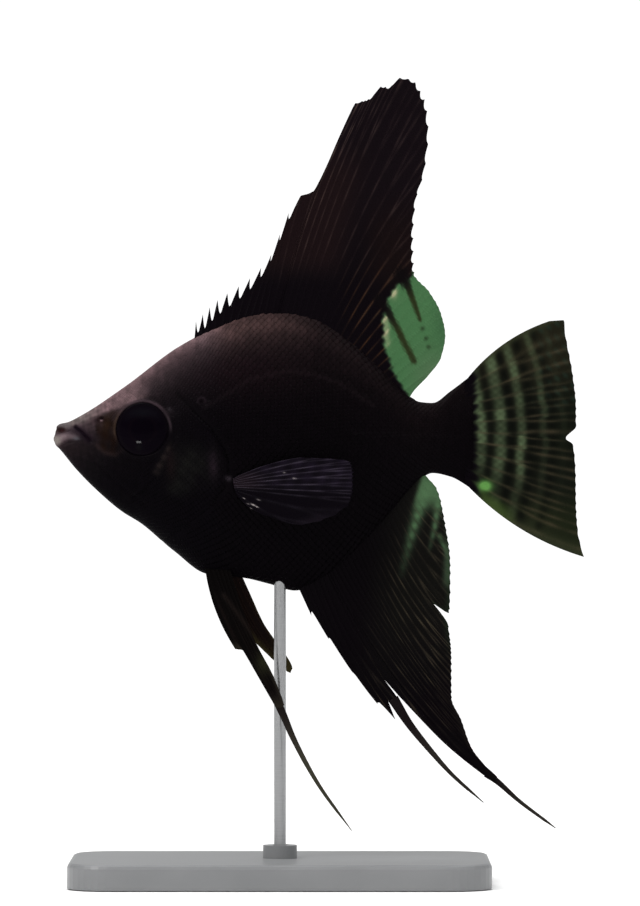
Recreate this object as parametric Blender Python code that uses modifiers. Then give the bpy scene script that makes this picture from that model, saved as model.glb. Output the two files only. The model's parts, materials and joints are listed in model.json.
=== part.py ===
"""Freshwater angelfish (Pterophyllum scalare, black form): a still, life-size museum model on a display stand.

The fish faces -X with its left side towards -Y and its fins spread. z = 0 is the underside of the stand, and the
rod stands at x = y = 0. Numbers are millimetres; MM turns them into Blender's metres.
"""

import math

import bmesh
import bpy
import numpy as np
from mathutils import Matrix, Vector

MM = 0.001
GAP = 0.3  # clearance between neighbouring pieces
LEFT, RIGHT = -1.0, 1.0  # sign of y on each side of the fish
FAR = 90.0  # a length well past the fish, for cutters

# Outlines of the body: (distance along the fish, height)
SNOUT_X = -45.2
TAIL_BASE_X = 38.6
BACK_LINE = [
    (SNOUT_X, 89.6), (-44.9, 90.8), (-44.0, 91.8), (-42.6, 92.3), (-39.6, 93.7), (-31.0, 99.4), (-20.5, 107.2),
    (-14.5, 110.4), (-4.0, 114.2), (0.5, 114.5), (6.5, 113.4), (12.6, 109.8), (20.8, 102.6), (25.2, 98.0),
    (28.0, 96.3), (30.5, 96.1), (34.0, 98.4), (TAIL_BASE_X, 101.9),
]
BELLY_LINE = [
    (SNOUT_X, 88.8), (-44.9, 87.7), (-44.2, 86.7), (-41.0, 82.9), (-36.8, 78.6), (-31.6, 74.2), (-27.9, 71.9),
    (-21.2, 66.3), (-14.8, 61.8), (-7.0, 60.9), (-2.0, 59.7), (3.0, 58.4), (9.0, 60.8), (15.0, 66.0),
    (21.0, 72.4), (26.0, 78.4), (28.5, 81.0), (30.5, 81.9), (34.0, 81.2), (TAIL_BASE_X, 78.6),
]
WIDEST_LINE = [(SNOUT_X, 89.2), (-40, 88.4), (-30, 88.0), (-18, 86.5), (-5, 86.5), (15, 87.5), (TAIL_BASE_X, 89.8)]
HALF_WIDTH = [
    (SNOUT_X, 0.5), (-44.9, 1.3), (-43.6, 2.0), (-41, 2.6), (-38, 3.2), (-33, 4.5), (-27, 5.7), (-20, 6.6),
    (-12, 7.2), (-4, 7.2), (6, 6.4), (16, 4.9), (24, 3.4), (30, 2.3), (34, 1.5), (TAIL_BASE_X, 0.7),
]
# How sharp the back and belly are: 0.5 is an ellipse, and more is a keel
KEEL = [(SNOUT_X, 0.5), (-30, 0.56), (-14, 0.66), (0, 0.74), (25, 0.66), (TAIL_BASE_X, 0.55)]
SECTION_POWER = 2.1
BODY_STATIONS = 40
SIDE_STEPS = 12

# Head
EYE_X, EYE_Y, EYE_Z = -27.0, 3.9, 90.4
EYE_RADIUS, EYE_HALF_DEPTH = 5.4, 2.9
MOUTH_CORNER_X, MOUTH_CORNER_Z = -42.4, 90.3
MOUTH_SLOPE, MOUTH_GAPE = -0.06, 0.12  # rise of the mouth's line towards the lips, and half its opening, per mm
GILL_SLIT = [
    (-19.0, 125), (-18.6, 104), (-15.6, 98.4), (-12.6, 92.5), (-10.9, 87), (-10.9, 82), (-13.6, 76.2), (-20, 70.6),
    (-25, 55),
]
GILL_COVER = [(-21.4, 93.6), (-16.5, 96.2), (-5, 96.2), (-5, 72.4), (-18.4, 72.4), (-24.6, 77.4), (-24.0, 82), (-21.2, 88)]
COVER_THICKNESS = 1.2
TAIL_STALK_X = 25.0

# Fins. Each row is (ray number, foot of the ray along the fin's root, tip across, tip up, bow of the ray)
FIN_EDGE = 0.56  # thickness at the free edge
ROOT_DEPTH = 1.6  # how far a root runs into the body before it is cut back
DEEPEST_NOTCH = 0.6  # share of a spine's free length that the membrane behind it leaves bare
DORSAL_ROOT = 1.3
DORSAL_LAST_SPINE = 11
DORSAL = [
    (0, -17.2, -16.7, 111.6, 0), (3, -12.9, -12.2, 116.0, 0), (6, -8.6, -5.6, 120.5, 0), (8, -5.8, -1.2, 125.2, 0),
    (9, -4.4, 0.5, 129.4, 0), (11, -1.5, 4.1, 137.4, 0.3), (11.5, -0.8, 6.5, 138.3, 0.4), (12, 0, 15.1, 156.0, 1.4),
    (13.7, 2.0, 18.1, 157.0, 1.3), (14.6, 3.1, 20.4, 159.4, 1.3), (15.3, 3.9, 21.8, 159.2, 1.3),
    (16.1, 4.9, 24.3, 161.2, 1.3), (16.8, 5.8, 26.7, 160.6, 1.3),
    (17.6, 6.7, 28.3, 158.2, 1.3), (18.4, 7.7, 29.4, 155.0, 1.2), (19.2, 8.6, 29.8, 150.0, 1.1),
    (20.2, 9.8, 29.0, 142.6, 1.0), (21.2, 11.0, 27.3, 136.6, 0.8), (22.5, 12.6, 26.7, 129.0, 0.6),
    (24, 14.4, 26.9, 122.2, 0.4), (26, 16.8, 29.8, 118.4, 0.3), (28, 19.2, 32.2, 114.0, 0.2),
    (30, 21.6, 33.1, 109.4, 0.2), (31.5, 23.2, 32.2, 105.0, 0.1), (32.4, 24.4, 29.6, 101.4, 0),
    (33, 25.6, 26.6, 98.4, 0),
]
ANAL_ROOT = 1.3
ANAL_LAST_SPINE = 4
ANAL = [
    (0, 3.4, 6.3, 53.4, 0), (1, 4.4, 9.7, 48.8, 0), (2, 5.4, 14.5, 42.1, 0.6), (3, 6.4, 19.5, 35.8, 1.1),
    (4, 7.4, 23.1, 32.6, 1.3), (4.4, 7.8, 21.7, 36.3, 1.1), (4.8, 8.1, 22.3, 35.8, 1.2), (5.4, 8.6, 23.7, 36.6, 1.6),
    (6.2, 9.3, 20.5, 41.0, 0), (6.6, 9.6, 33.0, 27.8, 1.5), (6.8, 9.8, 38.0, 23.6, 2.4), (7, 10.0, 42.9, 20.1, 3.0),
    (7.4, 10.3, 43.6, 20.9, 2.9), (8, 10.8, 41.3, 23.2, 2.0), (10, 12.4, 38.4, 27.0, 1.6), (12, 14.0, 36.4, 32.4, 1.6),
    (14.5, 16.0, 34.4, 37.3, 1.6), (17, 18.0, 34.4, 44.6, 1.6), (20, 20.5, 33.7, 51.7, 1.2),
    (20.5, 20.9, 30.9, 55.6, 0.9), (21, 21.3, 33.8, 53.8, 1.1), (24, 23.8, 34.2, 63.4, 1.0),
    (27, 26.2, 33.0, 72.6, 0.6), (29, 27.8, 31.5, 78.8, 0.3), (30, 28.4, 29.6, 81.0, 0),
]
# Streamers grow from the end between two rays: (first ray, [(across, up, width), ...])
ANAL_STREAMERS = [
    (4.8, [(25.7, 32.0, 1.6), (29.5, 27.2, 1.2), (34.2, 21.9, 0.8), (40.7, 16.1, 0.6)]),
    (7, [(47.6, 16.6, 0.8), (55.1, 11.0, 0.6)]),
]
TAIL_ROOT = 1.2
TAIL = [
    (0, 100.3, 53.9, 112.4, 1.6), (0.5, 99.9, 56.7, 112.6, 1.4), (1, 99.2, 57.2, 109.4, 1.0), (3, 96.5, 58.6, 101.8, 0.4),
    (5.5, 93.1, 59.3, 95.2, 0.1),
    (7, 91.0, 59.3, 91.2, 0), (7.5, 90.2, 57.2, 89.0, 0), (8, 89.5, 58.6, 87.8, 0), (10, 86.5, 59.2, 81.5, 0),
    (12, 83.8, 59.3, 75.6, -0.4), (14, 81.0, 59.7, 69.9, -1.0), (15, 80.0, 60.8, 65.2, -1.9),
]
# Rays of the paired fins: (ray number, foot across, foot up, tip across, tip up, bow), as seen from the side
PECTORAL_ROOT = 1.2
PECTORAL_SPREAD = math.radians(17)
PECTORAL = [
    (0, -8.8, 82.0, 4.0, 85.1, 0.4), (1, -8.8, 81.5, 9.0, 85.0, 0.5), (2, -8.7, 81.0, 14.2, 84.3, 0.5),
    (4, -8.6, 80.1, 14.8, 82.0, 0.3), (6, -8.4, 79.2, 14.8, 79.0, 0), (8, -8.2, 78.3, 14.2, 76.2, -0.2),
    (9, -8.1, 77.8, 10.2, 73.2, -0.5), (10, -8.0, 77.4, 4.0, 71.7, -0.8), (11, -7.9, 77.0, -1.6, 73.2, -0.6),
]
PELVIC_ROOT = 1.1
PELVIC_FOOT_Y = 0.9
PELVIC_SPREAD = math.radians(9)
PELVIC_LEFT = [
    (0, -15.0, 63.2, -8.9, 46.9, 1.0), (0.6, -14.3, 63.2, -7.4, 46.6, 1.1), (1, -13.8, 63.2, -0.5, 35.0, 0.6),
    (2, -12.6, 63.2, 0.9, 35.8, 1.1), (3, -11.2, 63.1, -1.2, 41.4, 1.1), (4, -10.0, 63.0, -4.6, 47.6, 0.3),
]
PELVIC_STREAMERS = [(1, [(2.7, 29.2, 1.1), (7.5, 20.4, 0.8), (14.3, 11.0, 0.6)])]
PELVIC_RIGHT = [
    (0, -12.4, 63.2, -4.9, 47.9, 0.3), (1, -11.0, 63.1, -0.4, 43.6, 1.0), (2, -10.2, 63.0, 2.1, 41.8, 1.3),
    (2.4, -9.6, 62.9, 2.5, 43.0, 1.2), (3.2, -8.8, 62.8, -3.3, 51.9, 0.3), (4, -8.2, 62.7, -5.9, 57.6, 0),
]

# Stand
BASE_LENGTH, BASE_WIDTH, BASE_HEIGHT = 84.0, 46.0, 5.0
BASE_CORNER, BASE_BEVEL = 8.0, 0.8
ROD_RADIUS = 1.2
ROD_FOOT, ROD_TOP = 1.5, 64.0
COLLAR_RADIUS, COLLAR_HEIGHT = 3.4, 2.6
ROUND_STEPS = 32


def curve_through(rows, column=1):
    """A smooth function through the rows' points that never overshoots them."""
    x = np.array([row[0] for row in rows], float)
    y = np.array([row[column] for row in rows], float)
    step = np.diff(x)
    slope = np.diff(y) / step
    turn = np.zeros(len(x))
    same = slope[:-1] * slope[1:] > 0
    left = 2 * step[1:] + step[:-1]
    right = step[1:] + 2 * step[:-1]
    safe = np.where(same, slope[:-1] * slope[1:], 1.0)
    turn[1:-1] = np.where(same, (left + right) * safe / (left * slope[1:] + right * slope[:-1] + (~same)), 0.0)
    turn[0], turn[-1] = slope[0], slope[-1]

    def at(value):
        value = np.clip(value, x[0], x[-1])
        i = np.clip(np.searchsorted(x, value) - 1, 0, len(step) - 1)
        t = (value - x[i]) / step[i]
        rise = y[i] * (1 + 2 * t) * (1 - t) ** 2 + y[i + 1] * t * t * (3 - 2 * t)
        return rise + step[i] * (turn[i] * t * (1 - t) ** 2 - turn[i + 1] * t * t * (1 - t))

    return at


back = curve_through(BACK_LINE)
belly = curve_through(BELLY_LINE)
widest = curve_through(WIDEST_LINE)
half_width = curve_through(HALF_WIDTH)
keel = curve_through(KEEL)


def body_ring(x, grow):
    """One cross-section of the body, as (y, z) points once round."""
    top, bottom, middle = back(x) + grow, belly(x) - grow, widest(x)
    wide = max(half_width(x) + grow, 0.1)
    points = []
    for k in range(2 * SIDE_STEPS):
        angle = math.pi * k / SIDE_STEPS - math.pi / 2
        rise = math.sin(angle)
        out = (1 - abs(rise) ** SECTION_POWER) ** keel(x) if abs(rise) < 1 - 1e-9 else 0.0
        side = RIGHT if k < SIDE_STEPS else LEFT
        points.append((side * wide * out, middle + rise * (top - middle if rise > 0 else middle - bottom)))
    return points


def mesh_object(name, points, faces, holder):
    mesh = bpy.data.meshes.new(name)
    mesh.from_pydata([Vector(point) * MM for point in points], [], faces)
    mesh.update()
    made = bpy.data.objects.new(name, mesh)
    holder.objects.link(made)
    return made


def loft(name, rings, holder):
    """A closed solid through rings of equal length."""
    count = len(rings[0])
    points = [point for ring in rings for point in ring]
    faces = [list(range(count)), list(range(len(points) - 1, len(points) - count - 1, -1))]
    for i in range(len(rings) - 1):
        for k in range(count):
            a, b = i * count + k, i * count + (k + 1) % count
            faces.append([a, a + count, b + count, b])
    return outward(mesh_object(name, points, faces, holder))


def outward(made):
    """Turns every face of a closed mesh outwards."""
    work = bmesh.new()
    work.from_mesh(made.data)
    bmesh.ops.recalc_face_normals(work, faces=work.faces)
    if work.calc_volume(signed=True) < 0:
        bmesh.ops.reverse_faces(work, faces=work.faces)
    work.to_mesh(made.data)
    work.free()
    return made


def body(name, grow, holder):
    share = np.linspace(0, 1, BODY_STATIONS)
    along = SNOUT_X + (TAIL_BASE_X - SNOUT_X) * share ** 1.25
    stations = [SNOUT_X - max(grow, 0), *along[1:-1], TAIL_BASE_X + max(grow, 0)]
    return loft(name, [[(x, y, z) for y, z in body_ring(x, grow)] for x in stations], holder)


def prism(name, outline, low_y, high_y, holder):
    """A block with this (x, z) outline, between two values of y."""
    work = bmesh.new()
    flat = work.faces.new([work.verts.new(Vector((x, low_y, z)) * MM) for x, z in outline])
    grown_out = bmesh.ops.extrude_face_region(work, geom=[flat])
    raised = [item for item in grown_out["geom"] if isinstance(item, bmesh.types.BMVert)]
    bmesh.ops.translate(work, verts=raised, vec=Vector((0, high_y - low_y, 0)) * MM)
    mesh = bpy.data.meshes.new(name)
    work.to_mesh(mesh)
    work.free()
    made = bpy.data.objects.new(name, mesh)
    holder.objects.link(made)
    return outward(made)


def ellipsoid(name, centre, radii, holder):
    work = bmesh.new()
    bmesh.ops.create_uvsphere(work, u_segments=24, v_segments=12, radius=1.0)
    turn = Matrix.Rotation(math.pi / 2, 4, "X")
    bmesh.ops.transform(work, matrix=turn, verts=work.verts)
    for vert in work.verts:
        vert.co = Vector([(c + v * r) * MM for c, v, r in zip(centre, vert.co, radii)])
    mesh = bpy.data.meshes.new(name)
    work.to_mesh(mesh)
    work.free()
    made = bpy.data.objects.new(name, mesh)
    holder.objects.link(made)
    return made


def cylinder(name, radius, low, high, holder):
    """An upright cylinder on the rod's axis, between two heights."""
    work = bmesh.new()
    bmesh.ops.create_cone(
        work, cap_ends=True, segments=ROUND_STEPS, radius1=radius * MM, radius2=radius * MM, depth=(high - low) * MM,
    )
    mesh = bpy.data.meshes.new(name)
    work.to_mesh(mesh)
    work.free()
    made = bpy.data.objects.new(name, mesh)
    made.location.z = (low + high) / 2 * MM
    holder.objects.link(made)
    return made


def boolean(made, operation, other):
    step = made.modifiers.new(operation.lower() + " " + other.name, "BOOLEAN")
    step.operation = operation
    step.object = other
    step.solver = "EXACT"


def paint(made, colour, roughness, metallic=0.0):
    material = bpy.data.materials.new(made.name + " finish")
    material.use_nodes = True
    shader = material.node_tree.nodes["Principled BSDF"]
    shader.inputs["Base Color"].default_value = (*colour, 1.0)
    shader.inputs["Roughness"].default_value = roughness
    shader.inputs["Metallic"].default_value = metallic
    made.data.materials.clear()
    made.data.materials.append(material)
    return made


def fin(name, rays, streamers, rows, root_thickness, grown_body, holder):
    """A fin from its rays, each (foot, tip, bow) in space: a sheet that thins towards its edge, cut back at the body.

    A streamer is (index of its first ray, [(left, right) points on the way to its tip]).
    """
    points, weights, faces = [], [], []
    for foot, tip, bow in rays:
        for row in rows:
            points.append(foot.lerp(tip, row) + bow * (4 * row * (1 - row)))
            weights.append(1.0 - row)
    count = len(rows)
    for i in range(len(rays) - 1):
        for k in range(count - 1):
            a = i * count + k
            faces.append([a, a + 1, a + 1 + count, a + count])
    for first, path in streamers:
        left, right = (first + 1) * count - 1, (first + 2) * count - 1
        for pair in path:
            points.extend(pair)
            weights.extend((0.0, 0.0))
            faces.append([left, len(points) - 2, len(points) - 1, right])
            left, right = len(points) - 2, len(points) - 1
    made = mesh_object(name, points, faces, holder)
    group = made.vertex_groups.new(name="thickness")
    for index, weight in enumerate(weights):
        group.add([index], weight, "REPLACE")
    solid = made.modifiers.new("thickness", "SOLIDIFY")
    solid.thickness = root_thickness * MM
    solid.offset = 0.0
    solid.vertex_group = group.name
    solid.thickness_vertex_group = FIN_EDGE / root_thickness
    boolean(made, "DIFFERENCE", grown_body)
    return made


def row_at(rows, number, columns):
    return [float(np.interp(number, [row[0] for row in rows], [row[c] for row in rows])) for c in columns]


def ray_numbers(rows, last_spine, step):
    """Every station of the fin's table, its spines, a notch behind each spine, and soft rays at this step."""
    numbers = {float(row[0]) for row in rows if row[0] >= last_spine}
    numbers |= {float(n) for n in range(last_spine + 1)}
    numbers |= {n + 0.6 for n in range(last_spine)}
    gaps = sorted(numbers)
    for low, high in zip(gaps, gaps[1:]):
        if low >= last_spine + 1:
            parts = math.ceil((high - low) / step)
            numbers |= {low + (high - low) * part / parts for part in range(1, parts)}
    return sorted(numbers)


def ribbon(start, path, place):
    """Pairs of points either side of a path of (across, up, width), which `place` sets in space."""
    pairs = []
    before = np.array(start)
    for across, up, width in path:
        here = np.array((across, up))
        run = (here - before) / np.linalg.norm(here - before)
        aside = np.array((run[1], -run[0])) * width / 2
        pairs.append((place(*(here + aside)), place(*(here - aside))))
        before = here
    return pairs


def median_fin(
    name, rows, last_spine, notch, step, root_line, side, streamers, sheet_rows, root_thickness, grown_body, holder,
):
    """A fin on the fish's midline. `side` is +1 above the back and -1 below the belly; notch is (first, last) depth."""
    rays = []
    numbers = ray_numbers(rows, last_spine, step)
    for number in numbers:
        foot_x, tip_x, tip_z, bow = row_at(rows, number, (1, 2, 3, 4))
        foot = Vector((foot_x, 0, root_line(foot_x) - side * ROOT_DEPTH))
        tip = Vector((tip_x, 0, tip_z))
        if number < last_spine and number % 1:
            depth = notch[0] + (notch[1] - notch[0]) * number / last_spine
            free = (tip - foot).length - ROOT_DEPTH
            tip = tip - (tip - foot).normalized() * min(depth, free * DEEPEST_NOTCH)
        reach = (tip - foot).normalized()
        rays.append((foot, tip, Vector((-reach.z, 0, reach.x)) * side * bow))
    ribbons = []
    for first, path in streamers:
        start = row_at(rows, first, (2, 3))
        ribbons.append((numbers.index(first), ribbon(start, path, lambda x, z: Vector((x, 0, z)))))
    return fin(name, rays, ribbons, sheet_rows, root_thickness, grown_body, holder)


def paired_fin(name, rows, side, foot_y, spread, downwards, streamers, sheet_rows, root_thickness, grown_body, holder):
    """A pectoral or pelvic fin: drawn as seen from the side, then swung outwards about its root."""
    first = rows[0]

    def place(x, z):
        away = first[2] - z if downwards else x - first[1]
        return Vector((x, side * (foot_y + max(away, 0) * math.tan(spread)), z))

    rays = []
    for _, foot_x, foot_z, tip_x, tip_z, bow in rows:
        foot, tip = place(foot_x, foot_z), place(tip_x, tip_z)
        reach = (tip - foot).normalized()
        turn = -1 if downwards else 1
        rays.append((foot, tip, Vector((-reach.z, 0, reach.x)) * turn * bow))
    ribbons = []
    for number, path in streamers:
        start = row_at(rows, number, (3, 4))
        ribbons.append(([row[0] for row in rows].index(number), ribbon(start, path, place)))
    return fin(name, rays, ribbons, sheet_rows, root_thickness, grown_body, holder)


def plate(name, length, width, height, corner, edge, holder):
    """The stand's base: a block with rounded corners and a small bevel round its top."""
    bpy.ops.mesh.primitive_cube_add(size=MM, location=(0, 0, height / 2 * MM))
    made = bpy.context.active_object
    made.name = made.data.name = name
    made.data.transform(Matrix.Diagonal((length, width, height, 1)))
    upright = made.data.attributes.new("bevel_weight_edge", "FLOAT", "EDGE")
    rim = made.data.attributes.new("rim", "FLOAT", "EDGE")
    for line in made.data.edges:
        heights = [made.data.vertices[i].co.z for i in line.vertices]
        upright.data[line.index].value = float(min(heights) < 0 < max(heights))
        rim.data[line.index].value = float(min(heights) > 0)
    for label, width_mm, segments, weights in (("corners", corner, 8, "bevel_weight_edge"), ("top edge", edge, 2, "rim")):
        bevel = made.modifiers.new(label, "BEVEL")
        bevel.width = width_mm * MM
        bevel.segments = segments
        bevel.limit_method = "WEIGHT"
        bevel.edge_weight = weights
    for other in made.users_collection:
        other.objects.unlink(made)
    holder.objects.link(made)
    return made


for old in list(bpy.data.objects):
    bpy.data.objects.remove(old, do_unlink=True)
parts = bpy.data.collections.new("freshwater angelfish")
cutters = bpy.data.collections.new("cutters")
for holder in (parts, cutters):
    bpy.context.scene.collection.children.link(holder)

# Cutters
grown = body("grown body", GAP, cutters)
inner = body("body under the gill covers", -COVER_THICKNESS, cutters)
pocket_floor = body("body under the gill pockets", -COVER_THICKNESS - GAP, cutters)
slit = [(x - GAP / 2, z) for x, z in GILL_SLIT]
head_region = prism("head region", [(-FAR, 125), *slit, (-FAR, 55)], -FAR, FAR, cutters)
slit = [(x + GAP / 2, z) for x, z in GILL_SLIT]
stalk_cut = [(TAIL_STALK_X - GAP / 2, 55), (TAIL_STALK_X - GAP / 2, 125)]
trunk_region = prism("trunk region", [*slit, *stalk_cut], -FAR, FAR, cutters)
stalk_x = TAIL_STALK_X + GAP / 2
stalk_region = prism("tail stalk region", [(stalk_x, 55), (FAR, 55), (FAR, 125), (stalk_x, 125)], -FAR, FAR, cutters)
mouth_reach = FAR + MOUTH_CORNER_X
mouth_ends = [MOUTH_CORNER_Z + mouth_reach * (MOUTH_SLOPE + part * MOUTH_GAPE) for part in (1, -1)]
mouth = prism(
    "mouth opening", [(MOUTH_CORNER_X, MOUTH_CORNER_Z), *[(-FAR, z) for z in mouth_ends]], -FAR, FAR, cutters,
)
rod_hole = cylinder("rod hole", ROD_RADIUS + GAP, 30, ROD_TOP + GAP, cutters)
base_hole = cylinder("base hole", ROD_RADIUS + GAP, ROD_FOOT - GAP, FAR, cutters)
collar = cylinder("collar", COLLAR_RADIUS, BASE_HEIGHT - 1.5, BASE_HEIGHT + COLLAR_HEIGHT, cutters)

# Body
FLESH = (0.03, 0.022, 0.03)
head = body("head", 0.0, parts)
boolean(head, "INTERSECT", head_region)
boolean(head, "DIFFERENCE", mouth)
trunk = body("trunk", 0.0, parts)
boolean(trunk, "INTERSECT", trunk_region)
boolean(trunk, "DIFFERENCE", rod_hole)
stalk = body("tail_stalk", 0.0, parts)
boolean(stalk, "INTERSECT", stalk_region)
for made in (head, trunk, stalk):
    paint(made, FLESH, 0.45)

for side, word in ((LEFT, "left"), (RIGHT, "right")):
    low_y, high_y = sorted((0.0, side * FAR))
    centre = (EYE_X, side * EYE_Y, EYE_Z)
    socket_radii = (EYE_RADIUS + GAP, EYE_HALF_DEPTH + GAP, EYE_RADIUS + GAP)
    socket = ellipsoid("eye socket " + word, centre, socket_radii, cutters)
    boolean(head, "DIFFERENCE", socket)
    eye = ellipsoid("eye_" + word, centre, (EYE_RADIUS, EYE_HALF_DEPTH, EYE_RADIUS), parts)
    paint(eye, (0.01, 0.01, 0.012), 0.1)

    middle = np.mean(GILL_COVER, axis=0)
    wide_outline = []
    for x, z in GILL_COVER:
        reach = np.array((x, z)) - middle
        wide_outline.append(tuple(middle + reach * (1 + 1.5 * GAP / np.linalg.norm(reach))))
    pocket = prism("gill pocket " + word, wide_outline, low_y, high_y, cutters)
    boolean(pocket, "DIFFERENCE", pocket_floor)
    boolean(head, "DIFFERENCE", pocket)
    cover = body("gill_cover_" + word, 0.0, parts)
    boolean(cover, "INTERSECT", head_region)
    boolean(cover, "INTERSECT", prism("gill cover outline " + word, GILL_COVER, low_y, high_y, cutters))
    boolean(cover, "DIFFERENCE", inner)
    paint(cover, (0.04, 0.038, 0.035), 0.4)

# Fins
SHEET_ROWS = (0, 0.3, 0.55, 0.8, 1)
FIN_COLOUR = (0.035, 0.025, 0.025)
fins = [
    median_fin(
        "dorsal_fin", DORSAL, DORSAL_LAST_SPINE, (3.0, 1.0), 1.1, back, 1, [], SHEET_ROWS, DORSAL_ROOT, grown, parts,
    ),
    median_fin(
        "anal_fin", ANAL, ANAL_LAST_SPINE, (1.8, 1.0), 1.5, belly, -1, ANAL_STREAMERS, SHEET_ROWS, ANAL_ROOT, grown,
        parts,
    ),
]
tail_rays = []
for number in ray_numbers(TAIL, 0, 1.0):
    foot_z, tip_x, tip_z, bow = row_at(TAIL, number, (1, 2, 3, 4))
    foot = Vector((TAIL_BASE_X - ROOT_DEPTH, 0, foot_z))
    tail_rays.append((foot, Vector((tip_x, 0, tip_z)), Vector((0, 0, bow))))
fins.append(fin("tail_fin", tail_rays, [], SHEET_ROWS, TAIL_ROOT, grown, parts))
for side, word, pelvic, streamers in ((LEFT, "left", PELVIC_LEFT, PELVIC_STREAMERS), (RIGHT, "right", PELVIC_RIGHT, [])):
    fins.append(paired_fin(
        "pectoral_fin_" + word, PECTORAL, side, 5.6, PECTORAL_SPREAD, False, [], SHEET_ROWS, PECTORAL_ROOT, grown,
        parts,
    ))
    fins.append(paired_fin(
        "pelvic_fin_" + word, pelvic, side, PELVIC_FOOT_Y, PELVIC_SPREAD, True, streamers, SHEET_ROWS, PELVIC_ROOT,
        grown, parts,
    ))
for made in fins:
    paint(made, FIN_COLOUR, 0.4)

# Stand
base = plate("stand_base", BASE_LENGTH, BASE_WIDTH, BASE_HEIGHT, BASE_CORNER, BASE_BEVEL, parts)
boolean(base, "UNION", collar)
boolean(base, "DIFFERENCE", base_hole)
paint(base, (0.62, 0.62, 0.6), 0.5)
rod = cylinder("stand_rod", ROD_RADIUS, ROD_FOOT, ROD_TOP, parts)
paint(rod, (0.6, 0.6, 0.6), 0.3, 1.0)

cutters.hide_render = True
for cutter in cutters.objects:
    cutter.hide_render = True
    cutter.display_type = "WIRE"
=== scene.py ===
# %% [markdown]
# # A black angelfish on its display stand
# The solids say where each piece is and how large it is, and this script dresses them: a skin with lips, gill covers
# and eye sockets, a coat of overlapping scales, fins with rays, eyes, and the finish of the stand. The solids come in
# first and are never moved.

# %% The solids, and the tools of the trade
import json
import math
from collections import namedtuple

import bpy
import numpy as np
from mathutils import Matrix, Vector

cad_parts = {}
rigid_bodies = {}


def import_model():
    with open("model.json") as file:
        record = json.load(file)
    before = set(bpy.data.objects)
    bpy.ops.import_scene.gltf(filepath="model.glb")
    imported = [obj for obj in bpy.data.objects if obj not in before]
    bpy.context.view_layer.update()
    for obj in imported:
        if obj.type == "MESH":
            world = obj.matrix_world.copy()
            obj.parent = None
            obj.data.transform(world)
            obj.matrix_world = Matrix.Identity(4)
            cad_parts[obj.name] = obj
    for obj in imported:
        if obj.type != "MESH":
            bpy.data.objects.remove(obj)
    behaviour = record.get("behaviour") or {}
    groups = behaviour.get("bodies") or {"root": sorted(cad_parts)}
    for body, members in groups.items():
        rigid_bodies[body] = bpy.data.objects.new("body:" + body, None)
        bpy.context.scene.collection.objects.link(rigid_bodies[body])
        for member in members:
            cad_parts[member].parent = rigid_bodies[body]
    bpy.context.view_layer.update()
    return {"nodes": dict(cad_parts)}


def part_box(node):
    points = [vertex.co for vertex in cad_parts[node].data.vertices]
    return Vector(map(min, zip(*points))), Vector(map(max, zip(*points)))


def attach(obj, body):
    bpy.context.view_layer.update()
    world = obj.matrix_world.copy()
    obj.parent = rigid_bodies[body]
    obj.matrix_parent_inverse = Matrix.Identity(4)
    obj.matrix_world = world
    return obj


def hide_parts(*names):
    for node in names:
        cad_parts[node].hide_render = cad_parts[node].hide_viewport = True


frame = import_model()
MM = 0.001
dice = np.random.default_rng(11)

# %% [markdown]
# ## Lines, masks and colours
# A fish is drawn with a few smooth lines: its back, its belly, its width from above. A curve through a handful of
# stations must not swing past them, so its slope is set to zero where the line turns. The same small tools then shape
# the relief of the head and lay the colours: soft steps, soft ridges and ovals, and the distance from a drawn line.

# %% Smooth lines and soft masks
def line_through(rows, column=1):
    """A smooth function through the stations that never overshoots them."""
    x, y = (np.array([row[k] for row in rows], float) for k in (0, column))
    step = np.diff(x)
    slope = np.diff(y) / step
    turn = np.zeros(len(x))
    same = slope[:-1] * slope[1:] > 0
    left, right = 2 * step[1:] + step[:-1], step[1:] + 2 * step[:-1]
    safe = np.where(same, slope[:-1] * slope[1:], 1)
    turn[1:-1] = np.where(same, (left + right) * safe / (left * slope[1:] + right * slope[:-1] + (~same)), 0)
    turn[0], turn[-1] = slope[0], slope[-1]

    def at(value):
        value = np.clip(value, x[0], x[-1])
        i = np.clip(np.searchsorted(x, value) - 1, 0, len(step) - 1)
        t = (value - x[i]) / step[i]
        rise = y[i] * (1 + 2 * t) * (1 - t) ** 2 + y[i + 1] * t * t * (3 - 2 * t)
        return rise + step[i] * (turn[i] * t * (1 - t) ** 2 - turn[i + 1] * t * t * (1 - t))

    return at


def fade(low, high, value):
    """A soft step from 0 at low to 1 at high."""
    t = np.clip((value - low) / (high - low), 0, 1)
    return t * t * (3 - 2 * t)


def fall(high, low, value):
    """A soft step from 1 at high to 0 at low."""
    return 1 - fade(high, low, value)


def window(start, full, sinking, gone, value):
    """Rises from 0 at start to 1 at full, and sinks again on the way from sinking to gone."""
    return fade(start, full, value) * fall(sinking, gone, value)


def hump(value, centre, width):
    """A soft ridge, 1 at its centre."""
    return np.exp(-(((value - centre) / width) ** 2))


def oval(x, z, mid_x, mid_z, wide, tall, power=1):
    """A soft oval, 1 in its middle. A higher power firms its edge."""
    return np.exp(-((((x - mid_x) / wide) ** 2 + ((z - mid_z) / tall) ** 2) ** power))


def ripples(x, z, one, other, shift=0):
    """Two waves that cross, to break up what would look even. Each runs at its own pace along x and z."""
    return np.sin(one[0] * x + one[1] * z) * np.sin(other[0] * x + other[1] * z + shift)


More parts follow.
